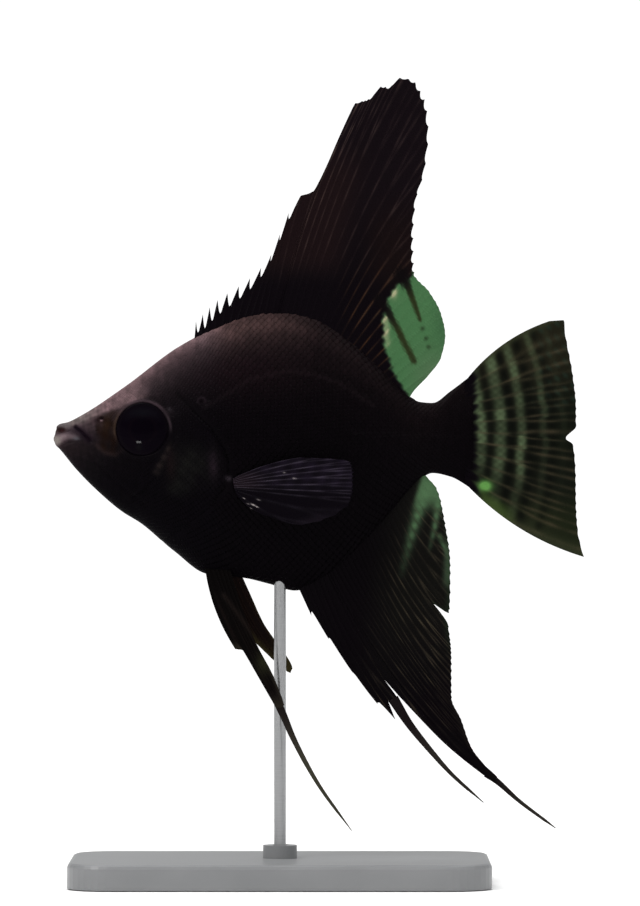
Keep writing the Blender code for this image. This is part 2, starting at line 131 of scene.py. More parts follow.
def beside(path, x, z):
    """For each point, how far it is from a drawn line, on which side (plus is right of it), and how far along."""
    path = np.array(path, float)
    runs = np.hypot(*np.diff(path, axis=0).T)
    total, done = runs.sum(), 0
    best, side, share = (np.full(np.shape(x), start) for start in (1e9, 0.0, 0.0))
    for (ax, az), (bx, bz), run in zip(path[:-1], path[1:], runs):
        ux, uz = (bx - ax) / run, (bz - az) / run
        held = np.clip((x - ax) * ux + (z - az) * uz, 0, run)
        off = np.hypot(x - ax - held * ux, z - az - held * uz)
        across = (z - az) * ux - (x - ax) * uz
        nearer = off < best
        best = np.where(nearer, off, best)
        side = np.where(nearer, np.sign(-across), side)
        share = np.where(nearer, (done + held) / total, share)
        done += run
    return best, side, share


print("a soft step at its middle:", float(fade(0, 1, 0.5)))

# %% Paint
STUDIO_GAIN = 1.35


def tone(shades):
    """Screen shades, from 0 to 255, turned into the paint that looks so in this studio."""
    value = np.clip(np.asarray(shades, float) / 255, 0, 1)
    return np.where(value <= 0.04045, value / 12.92, ((value + 0.055) / 1.055) ** 2.4) / STUDIO_GAIN


def ground(x, colour):
    """The first coat, one colour at every place."""
    return np.ones(np.shape(x) + (3,)) * np.array(colour, float)


def paint(shades, x, z, *glazes):
    """Lays glazes one over another. A glaze is a colour and its cover: a value for each place, or the strength of a
    soft oval and what oval() asks for."""
    for colour, cover in glazes:
        if isinstance(cover, tuple):
            cover = cover[0] * oval(x, z, *cover[1:])
        cover = np.clip(cover, 0, 1)[..., None]
        shades = shades * (1 - cover) + np.array(colour, float) * cover
    return shades


print("paint that shows as a middle grey:", round(float(tone(128)), 3))

# %% [markdown]
# ## Camera
# A fish is shown from its left side, level with the middle of its body, so that no fin is foreshortened. A long lens
# from over a metre away keeps the far fins the size of the near ones. The camera stands above the floor and looks
# straight along Y.

# %% The camera
CAMERA_FAR = 1.25
SHOWN_HEIGHT = 0.1812
SENSOR = 36


def put_in(name, data):
    """A new object in the scene that shows this data."""
    made = bpy.data.objects.new(name, data)
    bpy.context.scene.collection.objects.link(made)
    return made


lens_data = bpy.data.cameras.new("side camera")
lens_data.sensor_width = SENSOR
lens_data.lens = SENSOR * CAMERA_FAR / SHOWN_HEIGHT
lens_data.clip_start, lens_data.clip_end = 0.01, 100
camera = put_in("side camera", lens_data)
camera.location = (0.008, -CAMERA_FAR, 0.086)
camera.rotation_euler = (math.radians(90), 0, 0)
bpy.context.scene.camera = camera
print("lens:", round(lens_data.lens), "mm")

# %% [markdown]
# ## Materials
# Every piece carries its markings as colours on its own points, so that skin and scales share them without any
# picture. The node tree then adds what a flat colour lacks: mottling at the size of the pigment cells, a change of
# gloss, and a fine relief. A few small functions wire such a tree.

# %% Wiring a finish
CELL_DEPTH, GLOSS_CHANGE = 0.00005, 0.08


def node(tree, kind, sockets=(), **settings):
    """A new node, with values for its input sockets."""
    made = tree.nodes.new("ShaderNode" + kind)
    for key, value in settings.items():
        setattr(made, key, value)
    for socket, value in dict(sockets).items():
        made.inputs[socket].default_value = value
    return made


def wire(tree, *routes):
    """Joins nodes. A route names a node and its output, then a node and its input."""
    for source, output, target, socket in routes:
        tree.links.new(source.outputs[output], target.inputs[socket])


def blank_finish(name, sockets):
    """A new material, its tree and its shader."""
    material = bpy.data.materials.new(name)
    material.use_nodes = True
    shader = material.node_tree.nodes["Principled BSDF"]
    for socket, value in sockets.items():
        shader.inputs[socket].default_value = value
    return material, material.node_tree, shader


def finish_of(name, roughness, specular, grain, mottle, bump, **coat):
    """A finish that takes its colour from the markings, mottled at this grain (cells per metre)."""
    sockets = {"Specular IOR Level": specular, "Coat Roughness": 0.12}
    material, tree, shader = blank_finish(name, sockets | {"Coat " + key: value for key, value in coat.items()})
    marks = node(tree, "Attribute", attribute_name="markings")
    place = node(tree, "TexCoord")
    cells = node(tree, "TexNoise", {"Scale": grain, "Detail": 4})
    spread = node(tree, "MapRange", {"To Min": 1 - mottle, "To Max": 1 + mottle})
    tinted = node(tree, "VectorMath", operation="SCALE")
    gloss = node(tree, "MapRange", {"To Min": roughness - GLOSS_CHANGE, "To Max": roughness + GLOSS_CHANGE})
    dents = node(tree, "Bump", {"Strength": bump, "Distance": CELL_DEPTH})
    wire(
        tree, (place, "Object", cells, "Vector"), (cells, "Fac", spread, "Value"), (marks, "Color", tinted, 0),
        (spread, "Result", tinted, "Scale"), (tinted, "Vector", shader, "Base Color"), (cells, "Fac", gloss, "Value"),
        (gloss, "Result", shader, "Roughness"), (cells, "Fac", dents, "Height"), (dents, "Normal", shader, "Normal"),
    )
    return material


skin_finish = finish_of("black hide", 0.42, 0.015, 2600, mottle=0.22, bump=0.25)
scale_finish = finish_of("black scale", 0.36, 0.014, 3800, mottle=0.18, bump=0.15)
print("finishes:", skin_finish.name, "and", scale_finish.name)

# %% [markdown]
# ## The form of the body
# The body is one smooth form, deep and thin like a coin, rounded in the middle and drawn to an edge above and below.
# These are the lines that the solids were made from: the back, the belly, the height at which the body is widest, its
# half width, and how sharp its keels are.

# %% Lines of the body, in millimetres
SNOUT_X, TAIL_BASE_X = -45.2, 38.6
BACK_LINE = [
    (SNOUT_X, 89.4), (-44.9, 90.5), (-44.1, 91.8), (-42.6, 92.2), (-39.6, 93.7), (-31, 99.4), (-20.5, 107.2),
    (-14.5, 110.4), (-4, 114.2), (0.5, 114.5), (6.5, 113.4), (12.6, 109.8), (20.8, 102.6), (25.2, 98),
    (28, 96.3), (30.5, 96.1), (34, 98.4), (TAIL_BASE_X, 101.9),
]
BELLY_LINE = [
    (SNOUT_X, 88.2), (-44.9, 87.5), (-44.2, 86.8), (-41, 82.9), (-36.8, 78.6), (-31.6, 74.2), (-27.9, 71.9),
    (-21.2, 66.3), (-14.8, 61.8), (-7, 60.9), (-2, 59.7), (3, 58.4), (9, 60.8), (15, 66),
    (21, 72.4), (26, 78.4), (28.5, 81), (30.5, 81.9), (34, 81.2), (TAIL_BASE_X, 78.6),
]
WIDEST_LINE = [(SNOUT_X, 88.8), (-40, 88.4), (-30, 88), (-18, 86.5), (-5, 86.5), (15, 87.5), (TAIL_BASE_X, 89.8)]
HALF_WIDTH = [
    (SNOUT_X, 0.5), (-44.9, 1.3), (-43.6, 2), (-41, 2.6), (-38, 3.2), (-33, 4.5), (-27, 5.7), (-20, 6.6),
    (-12, 7.2), (-4, 7.2), (6, 6.4), (16, 4.9), (24, 3.4), (30, 2.3), (34, 1.5), (TAIL_BASE_X, 0.7),
]
KEEL = [(SNOUT_X, 0.5), (-30, 0.56), (-14, 0.66), (0, 0.74), (25, 0.66), (TAIL_BASE_X, 0.55)]
SECTION_POWER = 2.1
back, belly, widest = line_through(BACK_LINE), line_through(BELLY_LINE), line_through(WIDEST_LINE)
half_width, keel = line_through(HALF_WIDTH), line_through(KEEL)
print("deepest part of the body:", round(float(back(0.5) - belly(3)), 1), "mm")

# %% [markdown]
# ## Relief of the head
# The head gets the most care. Its features are drawn as lines and rings on the side of the fish, and each one lifts
# or sinks the skin: the socket with its rim, two lips round a slightly open mouth, the fold behind the upper jaw, the
# nostril, the edge of the cheek, and the gill cover that ends in a free edge over a groove. A height on top of the
# smooth form is easier to tune than a sculpted mesh, and both sides of the fish come out alike.

# %% Landmarks
EYE_X, EYE_Z, EYE_RADIUS = -27.3, 90.7, 5.2
MOUTH_LINE = [(-41.9, 90.5), (-42.8, 90.2), (-44.4, 89.9), (-45.6, 89.8)]
UPPER_LIP = [(-45.2, 91), (-44, 91.35), (-42.6, 91.5), (-41.6, 91.2)]
LOWER_LIP = [(-45.6, 88.5), (-44.5, 88.5), (-43.4, 89.15), (-42.4, 89.35), (-41.2, 89.2), (-39.9, 88.7)]
JAW_FOLD = [(-41.4, 91.55), (-40.5, 90.9), (-39.2, 89.8), (-38.2, 88.8), (-37.3, 87.8)]
LACRIMAL = [(-37, 88.6), (-36.2, 87.1), (-34.8, 86), (-32.8, 85.6), (-31.4, 86.6)]
LOWER_LIP_FOLD = [(-44.3, 87.2), (-43.3, 87.7), (-42.4, 88.1), (-40.9, 88.3), (-39.6, 88)]
CHIN_FOLD = [(-39, 87.2), (-37, 84.6), (-33.5, 81), (-29.5, 77.6), (-25.5, 74.6)]
CHEEK_EDGE = [(-20.9, 91), (-21.4, 88.6), (-23, 85.4), (-25.1, 81.4), (-27.8, 78.4), (-31.4, 76.9)]
CHEEK_SHINE = [(-21.4, 88.6), (-22.4, 86.3), (-23.6, 84), (-25.1, 81.2)]
GILL_EDGE = [
    (-20.6, 97.6), (-18.8, 95.6), (-16.6, 93.2), (-13.9, 90.6), (-11.8, 87.4), (-10.6, 84.3), (-10.5, 81.6),
    (-11.9, 78.4), (-14.8, 75), (-18.5, 72), (-22.5, 69.4), (-26, 67.4),
]
LOWER_COVER = [(-22.9, 77.8), (-19.4, 79.2), (-15.4, 81), (-11.6, 80.9)]
NOSTRIL, PORE = (-35.6, 92.9), (-15.6, 96.3)
PITS = ((NOSTRIL, 0.42), (PORE, 0.34), ((-31.4, 97), 0.2), ((-36.6, 90.4), 0.2), ((-24, 98), 0.22))
UPPER_SIDE_LINE = [(-15.2, 95), (-12.6, 96.4), (-6, 100.6), (1, 102.2), (6, 101.8), (12, 99.8), (18.4, 95.6)]
LOWER_SIDE_LINE = [(14, 90.2), (24, 89.6), (38, 89.2)]
print("the eye is", 2 * EYE_RADIUS, "mm across, with", len(PITS), "nostrils and pores round it")

# %% Folds
ALL_ALONG = (-2, -1)
# Each fold: its line, where along it the fold rises and sinks, and its ridges (height, distance from it, width)
FOLDS = (
    (UPPER_LIP, (*ALL_ALONG, 0.7, 1), ((0.20, 0, 0.42),)),
    (JAW_FOLD, (0, 0.15, 0.8, 1), ((-0.36, 0, 0.26), (0.14, 0.55, 0.3))),
    (LACRIMAL, (0, 0.2, 0.8, 1), ((0.07, 0, 0.4),)),
    (LOWER_LIP_FOLD, (0, 0.25, 0.85, 1), ((-0.20, 0, 0.26), (0.08, 0.5, 0.3))),
    (CHIN_FOLD, (0, 0.1, 0.85, 1), ((-0.10, 0, 0.35), (0.05, 0.8, 0.5))),
    (LOWER_COVER, (0, 0.1, 0.9, 1), ((-0.12, 0, 0.26),)),
)
SOCKET_DEPTH = 2
BREAST_FIN_ROOT = (-9.9, 79.7, 1.5, 2.5)


def relief(x, z):
    """How far the skin stands above the smooth form, in millimetres."""
    from_eye = np.hypot(x - EYE_X, z - EYE_Z)
    lift = -SOCKET_DEPTH * fall(EYE_RADIUS - 1, EYE_RADIUS + 0.12, from_eye)
    lift += 0.17 * hump(from_eye, EYE_RADIUS + 0.36, 0.34) - 0.06 * hump(from_eye, EYE_RADIUS + 1.2, 0.4)
    lift -= 0.50 * oval(x, z, -43.8, 90.6, 0.95, 0.46, 1.5) * fade(-45.05, -44.6, x)
    for line, ends, ridges in FOLDS:
        off, side, share = beside(line, x, z)
        lift += window(*ends, share) * sum(height * hump(off, at, width) for height, at, width in ridges)
    off, side, share = beside(MOUTH_LINE, x, z)
    mouth = fade(-40, -42, x) * fall(0.9, 1, share)
    lift -= mouth * (0.16 - 0.13 * fade(-44.2, -44.9, x)) * hump(off, 0, 0.16)
    off, side, share = beside(LOWER_LIP, x, z)
    lift += 0.24 * hump(off, 0, 0.6) * fall(0.55, 1, share) * fade(-45.2, -43.4, x)
    off, side, share = beside(CHEEK_EDGE, x, z)
    plate, groove = 0.24 * np.exp(-off / 1.4), 0.24 * hump(off, 0, 0.22) - 0.16 * hump(off, 0.5, 0.3)
    lift += window(0, 0.12, 0.8, 1, share) * np.where(side > 0, plate, groove)
    off, side, share = beside(GILL_EDGE, x, z)
    cover, groove = np.exp(-off / 3.2), hump(off, 0, 0.16) - 0.9 * hump(off, 0.42, 0.36)
    free = 0.26 - 0.17 * fade(0.5, 0.72, share)
    lift += window(0, 0.12, 0.86, 1, share) * free * np.where(side > 0, cover, groove)
    for (pit_x, pit_z), size in PITS:
        away = np.hypot(x - pit_x, z - pit_z)
        lift += -1.1 * size * fall(0.3 * size, size, away) + 0.3 * size * hump(away, 1.35 * size, 0.4 * size)
    return lift + 0.55 * oval(x, z, *BREAST_FIN_ROOT)


print("lift at the rim of the eye:", round(float(relief(np.array(EYE_X), np.array(EYE_Z + EYE_RADIUS + 0.4))), 2), "mm")

# %% [markdown]
# ## Laying the skin
# The skin is a fine net over the smooth form: stations along the fish, closest together at the lips, and points at
# even steps round each station. Even steps by length, rather than by angle, keep the small squares of the net alike
# from keel to keel, and they give every place on the body an address (station, step) that the scales use later.

# %% A net over the smooth form
STEPS = 150
COAT_DEPTH = 0.08
SPACING = ((-45.2, 0.05), (-44.6, 0.10), (-42, 0.13), (-34, 0.20), (-15, 0.28), (-5, 0.45))


def stations():
    x = [SNOUT_X]
    while x[-1] < TAIL_BASE_X:
        x.append(min(x[-1] + float(np.interp(x[-1], *zip(*SPACING))), TAIL_BASE_X))
    return np.array(x)


def section(x):
    """Half a section, from the belly to the back, at even steps: points (y, z), its length, and the widest place."""
    angle = np.linspace(-math.pi / 2, math.pi / 2, 721)
    rise = np.sin(angle)
    out = np.clip(1 - np.abs(rise) ** SECTION_POWER, 0, None) ** keel(x)
    top, bottom, middle = back(x), belly(x), widest(x)
    y = half_width(x) * out
    z = middle + rise * np.where(rise > 0, top - middle, middle - bottom)
    length = np.concatenate([[0], np.cumsum(np.hypot(np.diff(y), np.diff(z)))])
    even = np.linspace(0, length[-1], STEPS + 1)
    return np.interp(even, length, y), np.interp(even, length, z), length[-1], np.interp(0, rise, length)


station_x = stations()
cuts = [section(float(x)) for x in station_x]
half_net = np.stack([np.stack([np.full(STEPS + 1, x), cut[0], cut[1]], axis=1) for x, cut in zip(station_x, cuts)])
half_girth, to_widest = np.array([cut[2] for cut in cuts]), np.array([cut[3] for cut in cuts])
out_net = np.cross(np.gradient(half_net, axis=1), np.gradient(half_net, axis=0))
out_net[:, 0, 1] = out_net[:, -1, 1] = 0
out_net /= np.linalg.norm(out_net, axis=2, keepdims=True)
out_net *= np.sign(out_net[:, STEPS // 2, 1])[:, None, None]
half_net = half_net + out_net * (relief(half_net[..., 0], half_net[..., 2]) - COAT_DEPTH)[..., None]
print("net:", half_net.shape, "half girth at its largest:", round(float(half_girth.max()), 1), "mm")

# %% [markdown]
# ## Markings of the body
# The black form is not one black. The forehead and the back carry a greyish pink, partly the skin's own colour and
# partly a painted highlight from the light above, that sinks into purple black below. The lips are pale, with a
# painted highlight along the lower one, the skin before the eye is rusty brown and the gill cover has a green shine.
# Painted highlights also lie on the rim of the socket, the nostril and a pore, and painted shade darkens the pits and
# grooves of the head. Each is a soft mask laid over the last, as a painter would glaze them. Skin and scales ask the
# same function, so they always agree.

# %% Shades of the body
PURPLE_BLACK, PINK_GREY, RED_TINT = (5, 3, 6), (118, 95, 98), (0.07, 0, -0.07)
SHEEN_STRENGTH = ((-30, 1), (-20, 1), (-10, 0.98), (-4, 0.90), (2, 0.66), (8, 0.33), (20, 0.20), (34, 0.10))
SHEEN_DEPTH = ((-24, 4.3), (-6, 4.6), (8, 6.5), (30, 6))


def body_shades(x, z):
    below_back = np.clip(back(x) - z, 0, None)
    under_fin = window(-15, -8, 26, 30, x) * fall(0.6, 3.4, below_back)
    # Pink grey sheen along the back: partly the skin's own colour, partly a painted highlight from the light above;
    # weaker right under the back fin.
    pink_skin_and_sheen = np.interp(x, *zip(*SHEEN_STRENGTH)) * np.exp(-below_back / np.interp(x, *zip(*SHEEN_DEPTH)))
    pink_skin_and_sheen = pink_skin_and_sheen * (1 - 0.45 * under_fin)
    shades = paint(ground(x, PURPLE_BLACK), x, z, (PINK_GREY, pink_skin_and_sheen))
    shades = shades * (1 + fade(-16, -8, x)[..., None] * np.array(RED_TINT))
    brow = 91.7 + 0.37 * (x + 40)
    # The forehead gets the same pink grey, again partly the skin's colour and partly a painted highlight.
    forehead = fade(-0.7, 0.9, z - brow) * fall(-29.5, -23, x)
    shades = paint(
        shades, x, z,
        (PINK_GREY, (0.84 * forehead - pink_skin_and_sheen) / (1.001 - pink_skin_and_sheen)),
        ((95, 88, 86), 0.8 * forehead * fall(-40.5, -34, x)),
    )
    clouds = ripples(x, z, (1.7, 0.6), (-0.9, 1.1), 1) + 0.6 * ripples(x, z, (3.1, -1.3), (0.8, 2.3))
    blots = ripples(x, z, (2.9, 1.9), (-1.6, 2.2)) + 0.7 * ripples(x, z, (5.3, -2.7), (2.3, 4.1))
    shades = shades * (1 + 0.08 * clouds)[..., None] * (1 + 0.13 * blots * fall(-36, -28, x))[..., None]
    under_nose = fall(-42, -35.6, x + 0.3 * (z - 90)) * fade(86.4, 89, z) * fall(-0.6, 0.8, z - brow)
    shades = paint(
        shades, x, z,
        ((24, 12, 17), 0.45 * hump(x, -8, 13) * hump(z, 102, 5)),
        ((34, 27, 33), 0.72 * under_nose),
        ((20, 15, 16), 0.4 * fall(-40, -34, x) * window(84.5, 87, 88, 90, z)),
    )
    return face_shades(eye_corner(shades, x, z), x, z)


def eye_corner(shades, x, z):
    """Rusty skin from mouth to eye, the nostril with a painted glint and shade, and painted shade in the jaw fold."""
    from_rim = np.hypot(x - EYE_X, z - EYE_Z) - EYE_RADIUS
    rust = fade(-36.9, -35.3, x + 0.38 * (z - 88)) * fade(85.4, 87, z + 0.25 * (x + 34)) * fall(3.6, 4.6, from_rim)
    rust = rust * fall(-33.4, -31.6, x) * fall(-0.5, 0.7, z - (92.5 + 0.37 * (x + 38)))
    patchy = 0.66 + 0.34 * ripples(x, z, (2.1, 0.8), (-0.7, 1.3), 2)
    front_rim = hump(from_rim, 0.42, 0.36) * fade(87.6, 90.2, z) * fall(-33, -29, x)
    from_bone, _, along_bone = beside(LACRIMAL, x, z)
    bone = hump(from_bone, 0, 0.48) * fade(0, 0.2, along_bone) * (1 - 0.6 * fade(0.6, 1, along_bone))
    from_fold, _, along_fold = beside(JAW_FOLD, x, z)
    jaw_fold_shade = hump(from_fold, 0, 0.42 + 0.5 * along_fold) * window(0, 0.12, 0.75, 1, along_fold)
    return paint(
        shades, x, z,
        ((23, 12, 8), 0.95 * rust * patchy),
        ((40, 26, 14), 0.5 * rust * oval(x, z, -34.6, 91.6, 1, 1.6)),
        ((66, 52, 42), 0.7 * front_rim),
        ((22, 11, 14), (0.6, -36.6, 92.5, 1.2, 0.7)),
        # painted shade in the pit of the nostril
        ((20, 12, 15), (0.8, *NOSTRIL, 0.5, 0.4)),
        # a painted glint on the wet rim of the nostril
        ((132, 110, 114), (0.85, -35.6, 92.5, 0.26, 0.24)),
        ((46, 34, 33), 0.52 * bone),
        # painted shade in the groove of the jaw fold
        ((20, 12, 20), 0.92 * jaw_fold_shade),
    )


def face_shades(shades, x, z):
    """Lips, eye rim, cheek edge, gill cover, breast fin root; with painted highlights and painted shade among them."""
    lower, _, back_lower = beside(LOWER_LIP, x, z)
    lip_band_and_highlight = hump(lower, 0, 0.62) * (1 - 0.4 * fade(0.35, 0.6, back_lower)) * fall(0.8, 1, back_lower)
    upper, _, back_upper = beside(UPPER_LIP, x, z)
    from_eye = np.hypot(x - EYE_X, z - EYE_Z)
    to_back = ((x - EYE_X) * 0.75 + (z - EYE_Z) * 0.66) / EYE_RADIUS
    to_top = (z - EYE_Z) / EYE_RADIUS
    shine, _, down = beside(CHEEK_SHINE, x, z)
    cheek = (0.75 + 0.25 * np.sin(3.1 * z + 1.3 * x)) * hump(shine, 0, 0.36 + 0.4 * down)
    cover = oval(x, z, -17.8, 83.4, 3.9, 4.1, 1.3) + 0.8 * oval(x, z, -20.4, 79, 2, 1.5)
    edge, side, along_edge = beside(GILL_EDGE, x, z)
    from_pore = np.hypot(x - PORE[0], z - PORE[1])
    return paint(
        shades, x, z,
        # the pale lower lip; its raised band is brightened further by a painted highlight
        ((96, 80, 84), 0.75 * hump(lower, 0.25, 0.9) * fall(0.35, 0.8, back_lower)),
        ((124, 108, 112), 0.92 * lip_band_and_highlight),
        ((78, 78, 84), (0.7, -40.6, 88.9, 0.7, 0.4)),
        ((84, 78, 80), 0.8 * hump(upper, 0, 0.6) * fall(0.8, 1, back_upper)),
        # painted highlight on the front of the lower lip
        ((128, 121, 116), (0.95, -44.7, 88.5, 1, 1.05, 1.5)),
        # painted shade inside the open mouth; the red below is its inside
        ((34, 22, 22), (0.95, -43.9, 90.6, 1.15, 0.6, 1.5)),
        ((48, 22, 26), (0.8, -43.6, 90.5, 0.5, 0.3)),
        # painted shade where the skin turns down into the socket
        ((9, 6, 10), 0.6 * fall(EYE_RADIUS, EYE_RADIUS + 0.45, from_eye)),
        # painted highlights on the upper and rear side of the raised socket rim
        ((66, 54, 60), 0.75 * fade(0.62, 0.95, to_back) * hump(from_eye, EYE_RADIUS + 0.36, 0.28)),
        ((58, 46, 52), 0.7 * fade(0.35, 0.8, to_top) * hump(from_eye, EYE_RADIUS + 0.5, 0.34)),
        ((62, 60, 64), (0.7, -22, 94.7, 0.45, 0.4)),
        ((30, 24, 28), (0.7, -22.4, 94.2, 1.7, 1)),
        ((46, 38, 36), 0.76 * cheek * window(0, 0.22, 0.82, 1, down)),
        ((28, 15, 17), (0.6, -21.6, 83.8, 1, 3)),
        ((22, 22, 20), 0.85 * np.clip(cover, 0, 1) * (0.8 + 0.2 * ripples(x, z, (1.9, 0.7), (0, 1.7)))),
        ((7, 4, 8), (0.7, -16.2, 81, 1, 1.3)),
        ((35, 26, 33), (0.8, -13.2, 83.6, 1, 2.9)),
        # painted shade round the root of the breast fin, where it meets the gill cover
        ((8, 5, 8), (0.8, -11.3, 83.6, 0.7, 1.5)),
        # painted shade in the groove under the free edge of the gill cover
        ((6, 4, 6), 0.35 * hump(edge, 0.35, 0.5) * (side < 0) * fall(0.5, 0.7, along_edge)),
        ((62, 54, 62), (0.8, -10.2, 80.9, 0.6, 0.5)),
        # painted shadow below the root of the breast fin
        ((6, 3, 6), (0.8, -10.2, 78.3, 0.9, 1.5)),
        # a painted highlight on the upper rim of the pore, and painted shade in its pit
        ((58, 46, 54), 0.42 * hump(from_pore, 0.75, 0.24) * fade(-0.6, 0.4, z - PORE[1] + 0.4)),
        ((8, 4, 7), 0.9 * hump(from_pore, 0, 0.5)),
        ((44, 32, 36), 0.16 * hump(beside(UPPER_SIDE_LINE, x, z)[0], 0, 0.3)),
    )


sample = body_shades(np.array([-20, -20]), np.array([105, 80]))
print("forehead and cheek:", sample.round().astype(int).tolist())

# %% [markdown]
# ## Making meshes from nets
# Skin, fins and scales are all nets of points, so one function turns such arrays into a Blender mesh: points in
# millimetres, four-sided faces, a colour on each point, and a map where one is wanted. The piece then rides on the
# body of the frame.

# %% From arrays to a mesh
def mesh_piece(name, points, quads, shades, material, replaces=(), unwrap=None, extra=None):
    """A piece with its markings. `unwrap` holds one (u, v) for each point, `extra` more values by their names."""
    mesh = bpy.data.meshes.new(name)
    mesh.vertices.add(len(points))
    mesh.vertices.foreach_set("co", (np.asarray(points, float) * MM).astype(np.float32).ravel())
    quads = np.asarray(quads, np.int32)
    mesh.loops.add(quads.size)
    mesh.loops.foreach_set("vertex_index", quads.ravel())
    mesh.polygons.add(len(quads))
    mesh.polygons.foreach_set("loop_start", np.arange(0, quads.size, 4, dtype=np.int32))
    mesh.update(calc_edges=True)
    mesh.polygons.foreach_set("use_smooth", np.ones(len(quads), bool))
    values = np.ones((len(points), 4), np.float32)
    values[:, :3] = tone(shades)
    mesh.color_attributes.new("markings", "FLOAT_COLOR", "POINT").data.foreach_set("color", values.ravel())
    for label, value in (extra or {}).items():
        mesh.attributes.new(label, "FLOAT", "POINT").data.foreach_set("value", np.asarray(value, np.float32))
    if unwrap is not None:
        layer = mesh.uv_layers.new(name="OFBake")
        layer.data.foreach_set("uv", np.asarray(unwrap, np.float32)[quads.ravel()].ravel())
    mesh.materials.append(material)
    made = put_in(name, mesh)
    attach(made, "root")
    if replaces:
        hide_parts(*replaces)
    mesh.validate()
    return made


def net_quads(rows, columns, closed=False, first=0):
    """Faces of a net of points, row after row; a closed net joins its last column to its first."""
    r = np.arange(rows - 1)[:, None]
    c = np.arange(columns if closed else columns - 1)[None, :]
    following = (c + 1) % columns
    corners = [r * columns + c, (r + 1) * columns + c, (r + 1) * columns + following, r * columns + following]
    return first + np.stack(corners, axis=-1).reshape(-1, 4)


def rim_quads(rows, columns):
    """Faces that join the outer edges of two nets of this size, numbered one after the other."""
    index = np.arange(rows * columns).reshape(rows, columns)
    rim = np.concatenate([index[0, :], index[1:, -1], index[-1, -2::-1], index[-2:0:-1, 0]])
    following = np.roll(rim, -1)
    return np.stack([rim, following, following + index.size, rim + index.size], axis=1)


def both_faces(rows, columns):
    """Faces of a plate: one net, the same net seen from behind, and the rim between them."""
    front = net_quads(rows, columns)
    return np.concatenate([front, (front + rows * columns)[:, ::-1], rim_quads(rows, columns)])


print("faces of a 3 by 4 net:", len(net_quads(3, 4)))

# %% [markdown]
# ## The skin
# Both halves of the net meet along the keels, and a few shrinking rings round off the lips. The unwrap is the skin
# laid flat: distance along the fish one way, distance round it the other, with the left side below the right.

# %% Closing the net over both sides
MIRROR = np.array([1, -1, 1])
FRONT_CAPS = ((0.1, 0.16), (0.5, 0.13), (0.85, 0.06))
REAR_CAPS = ((0.8, 0), (0.3, 0), (0.02, 0))
MAP_EDGE, MAP_BAND = 0.02, 0.46


def shrunk(ring, sizes):
    """Copies of a ring, each shrunk to a share of its size and moved forward."""
    middle = ring.mean(axis=0)
    return [middle + (ring - middle) * size + (-forward, 0, 0) for size, forward in sizes]


def unwrap_at(along, around, left):
    """Place on the flat skin. `along` and `around` run from 0 to 1, and `left` is True on the left side."""
    v = np.where(left, MAP_EDGE + MAP_BAND * around, 1 - MAP_EDGE - MAP_BAND * around)
    return np.stack([MAP_EDGE + (1 - 2 * MAP_EDGE) * along, v], axis=-1)


back_steps = np.hypot(np.diff(station_x), np.diff(back(station_x)))
share_along = 0.5 * (station_x - SNOUT_X) / (TAIL_BASE_X - SNOUT_X)
share_along = share_along + 0.5 * np.cumsum(np.r_[0, back_steps]) / back_steps.sum()
# the right side from belly to back, then the left side down again
ring_net = np.concatenate([half_net, half_net[:, -2:0:-1] * MIRROR], axis=1)
skin_points = np.concatenate([shrunk(ring_net[0], FRONT_CAPS), ring_net, shrunk(ring_net[-1], REAR_CAPS)])
rows, columns = skin_points.shape[:2]
flat = skin_points.reshape(-1, 3)
around = np.abs(((np.arange(columns) + STEPS) % columns) - STEPS) / STEPS
along = np.concatenate([[0] * len(FRONT_CAPS), share_along, [1] * len(REAR_CAPS)])
skin_map = unwrap_at(np.repeat(along, columns), np.tile(around, rows), np.tile(np.arange(columns) > STEPS, rows))
skin = mesh_piece(
    "skin", flat, net_quads(rows, columns, closed=True), body_shades(flat[:, 0], flat[:, 2]), skin_finish,
    replaces=("head", "trunk", "tail_stalk", "gill_cover_left", "gill_cover_right"), unwrap=skin_map,
)
print("skin:", len(skin.data.polygons), "faces")

# %% [markdown]
# ## Eyes
# A fish eye is a ball with a flat, wide window. Turning one profile about the axis of the eye gives the bulge of
# the window and the roll under the rim of the socket; a slightly domed pupil sits in the middle behind a thin pale
# ring. The black form has a nearly black iris, so most of what shows is the gloss, which a clear coat gives.
# A paler top and two faint patches on the eye are painted reflections.

# %% A turned eye
EYE_RINGS, EYE_SPOKES = 46, 72
EYE_FRONT, EYE_BACK, TUCK = 1.18, 2.2, 0.15
LEFT, RIGHT = -1, 1
eye_finish = finish_of("wet eye", 0.16, 0, 5200, mottle=0.18, bump=0.03, Weight=1, Roughness=0.045, IOR=1.05)


def eye_shades(radius, angle):
    across, up = radius * np.cos(angle), radius * np.sin(angle)
    return paint(
        ground(radius, (4.2, 2.3, 5.4)), across, up,
        # painted sheen on the upper part of the eye
        ((11, 9.5, 14), 0.5 * fade(0.2, 1, np.sin(angle)) * hump(radius, 3.9, 0.9)),
        ((3.8, 2, 5), fall(1.8, 2.9, radius)),
        ((7.5, 4.2, 6.5), 0.3 * hump(radius, 2.62, 0.3)),
        # painted reflection above the middle of the eye
        ((10, 10, 14), (0.5, 0, 3.1, 1.6, 0.8)),
        # painted reflection below the middle of the eye
        ((9, 9, 9.5), (0.5, -0.7, -3.6, 0.7, 0.7)),
        ((8, 6, 8), 0.4 * hump(radius, EYE_RADIUS - 0.35, 0.3)),
    )


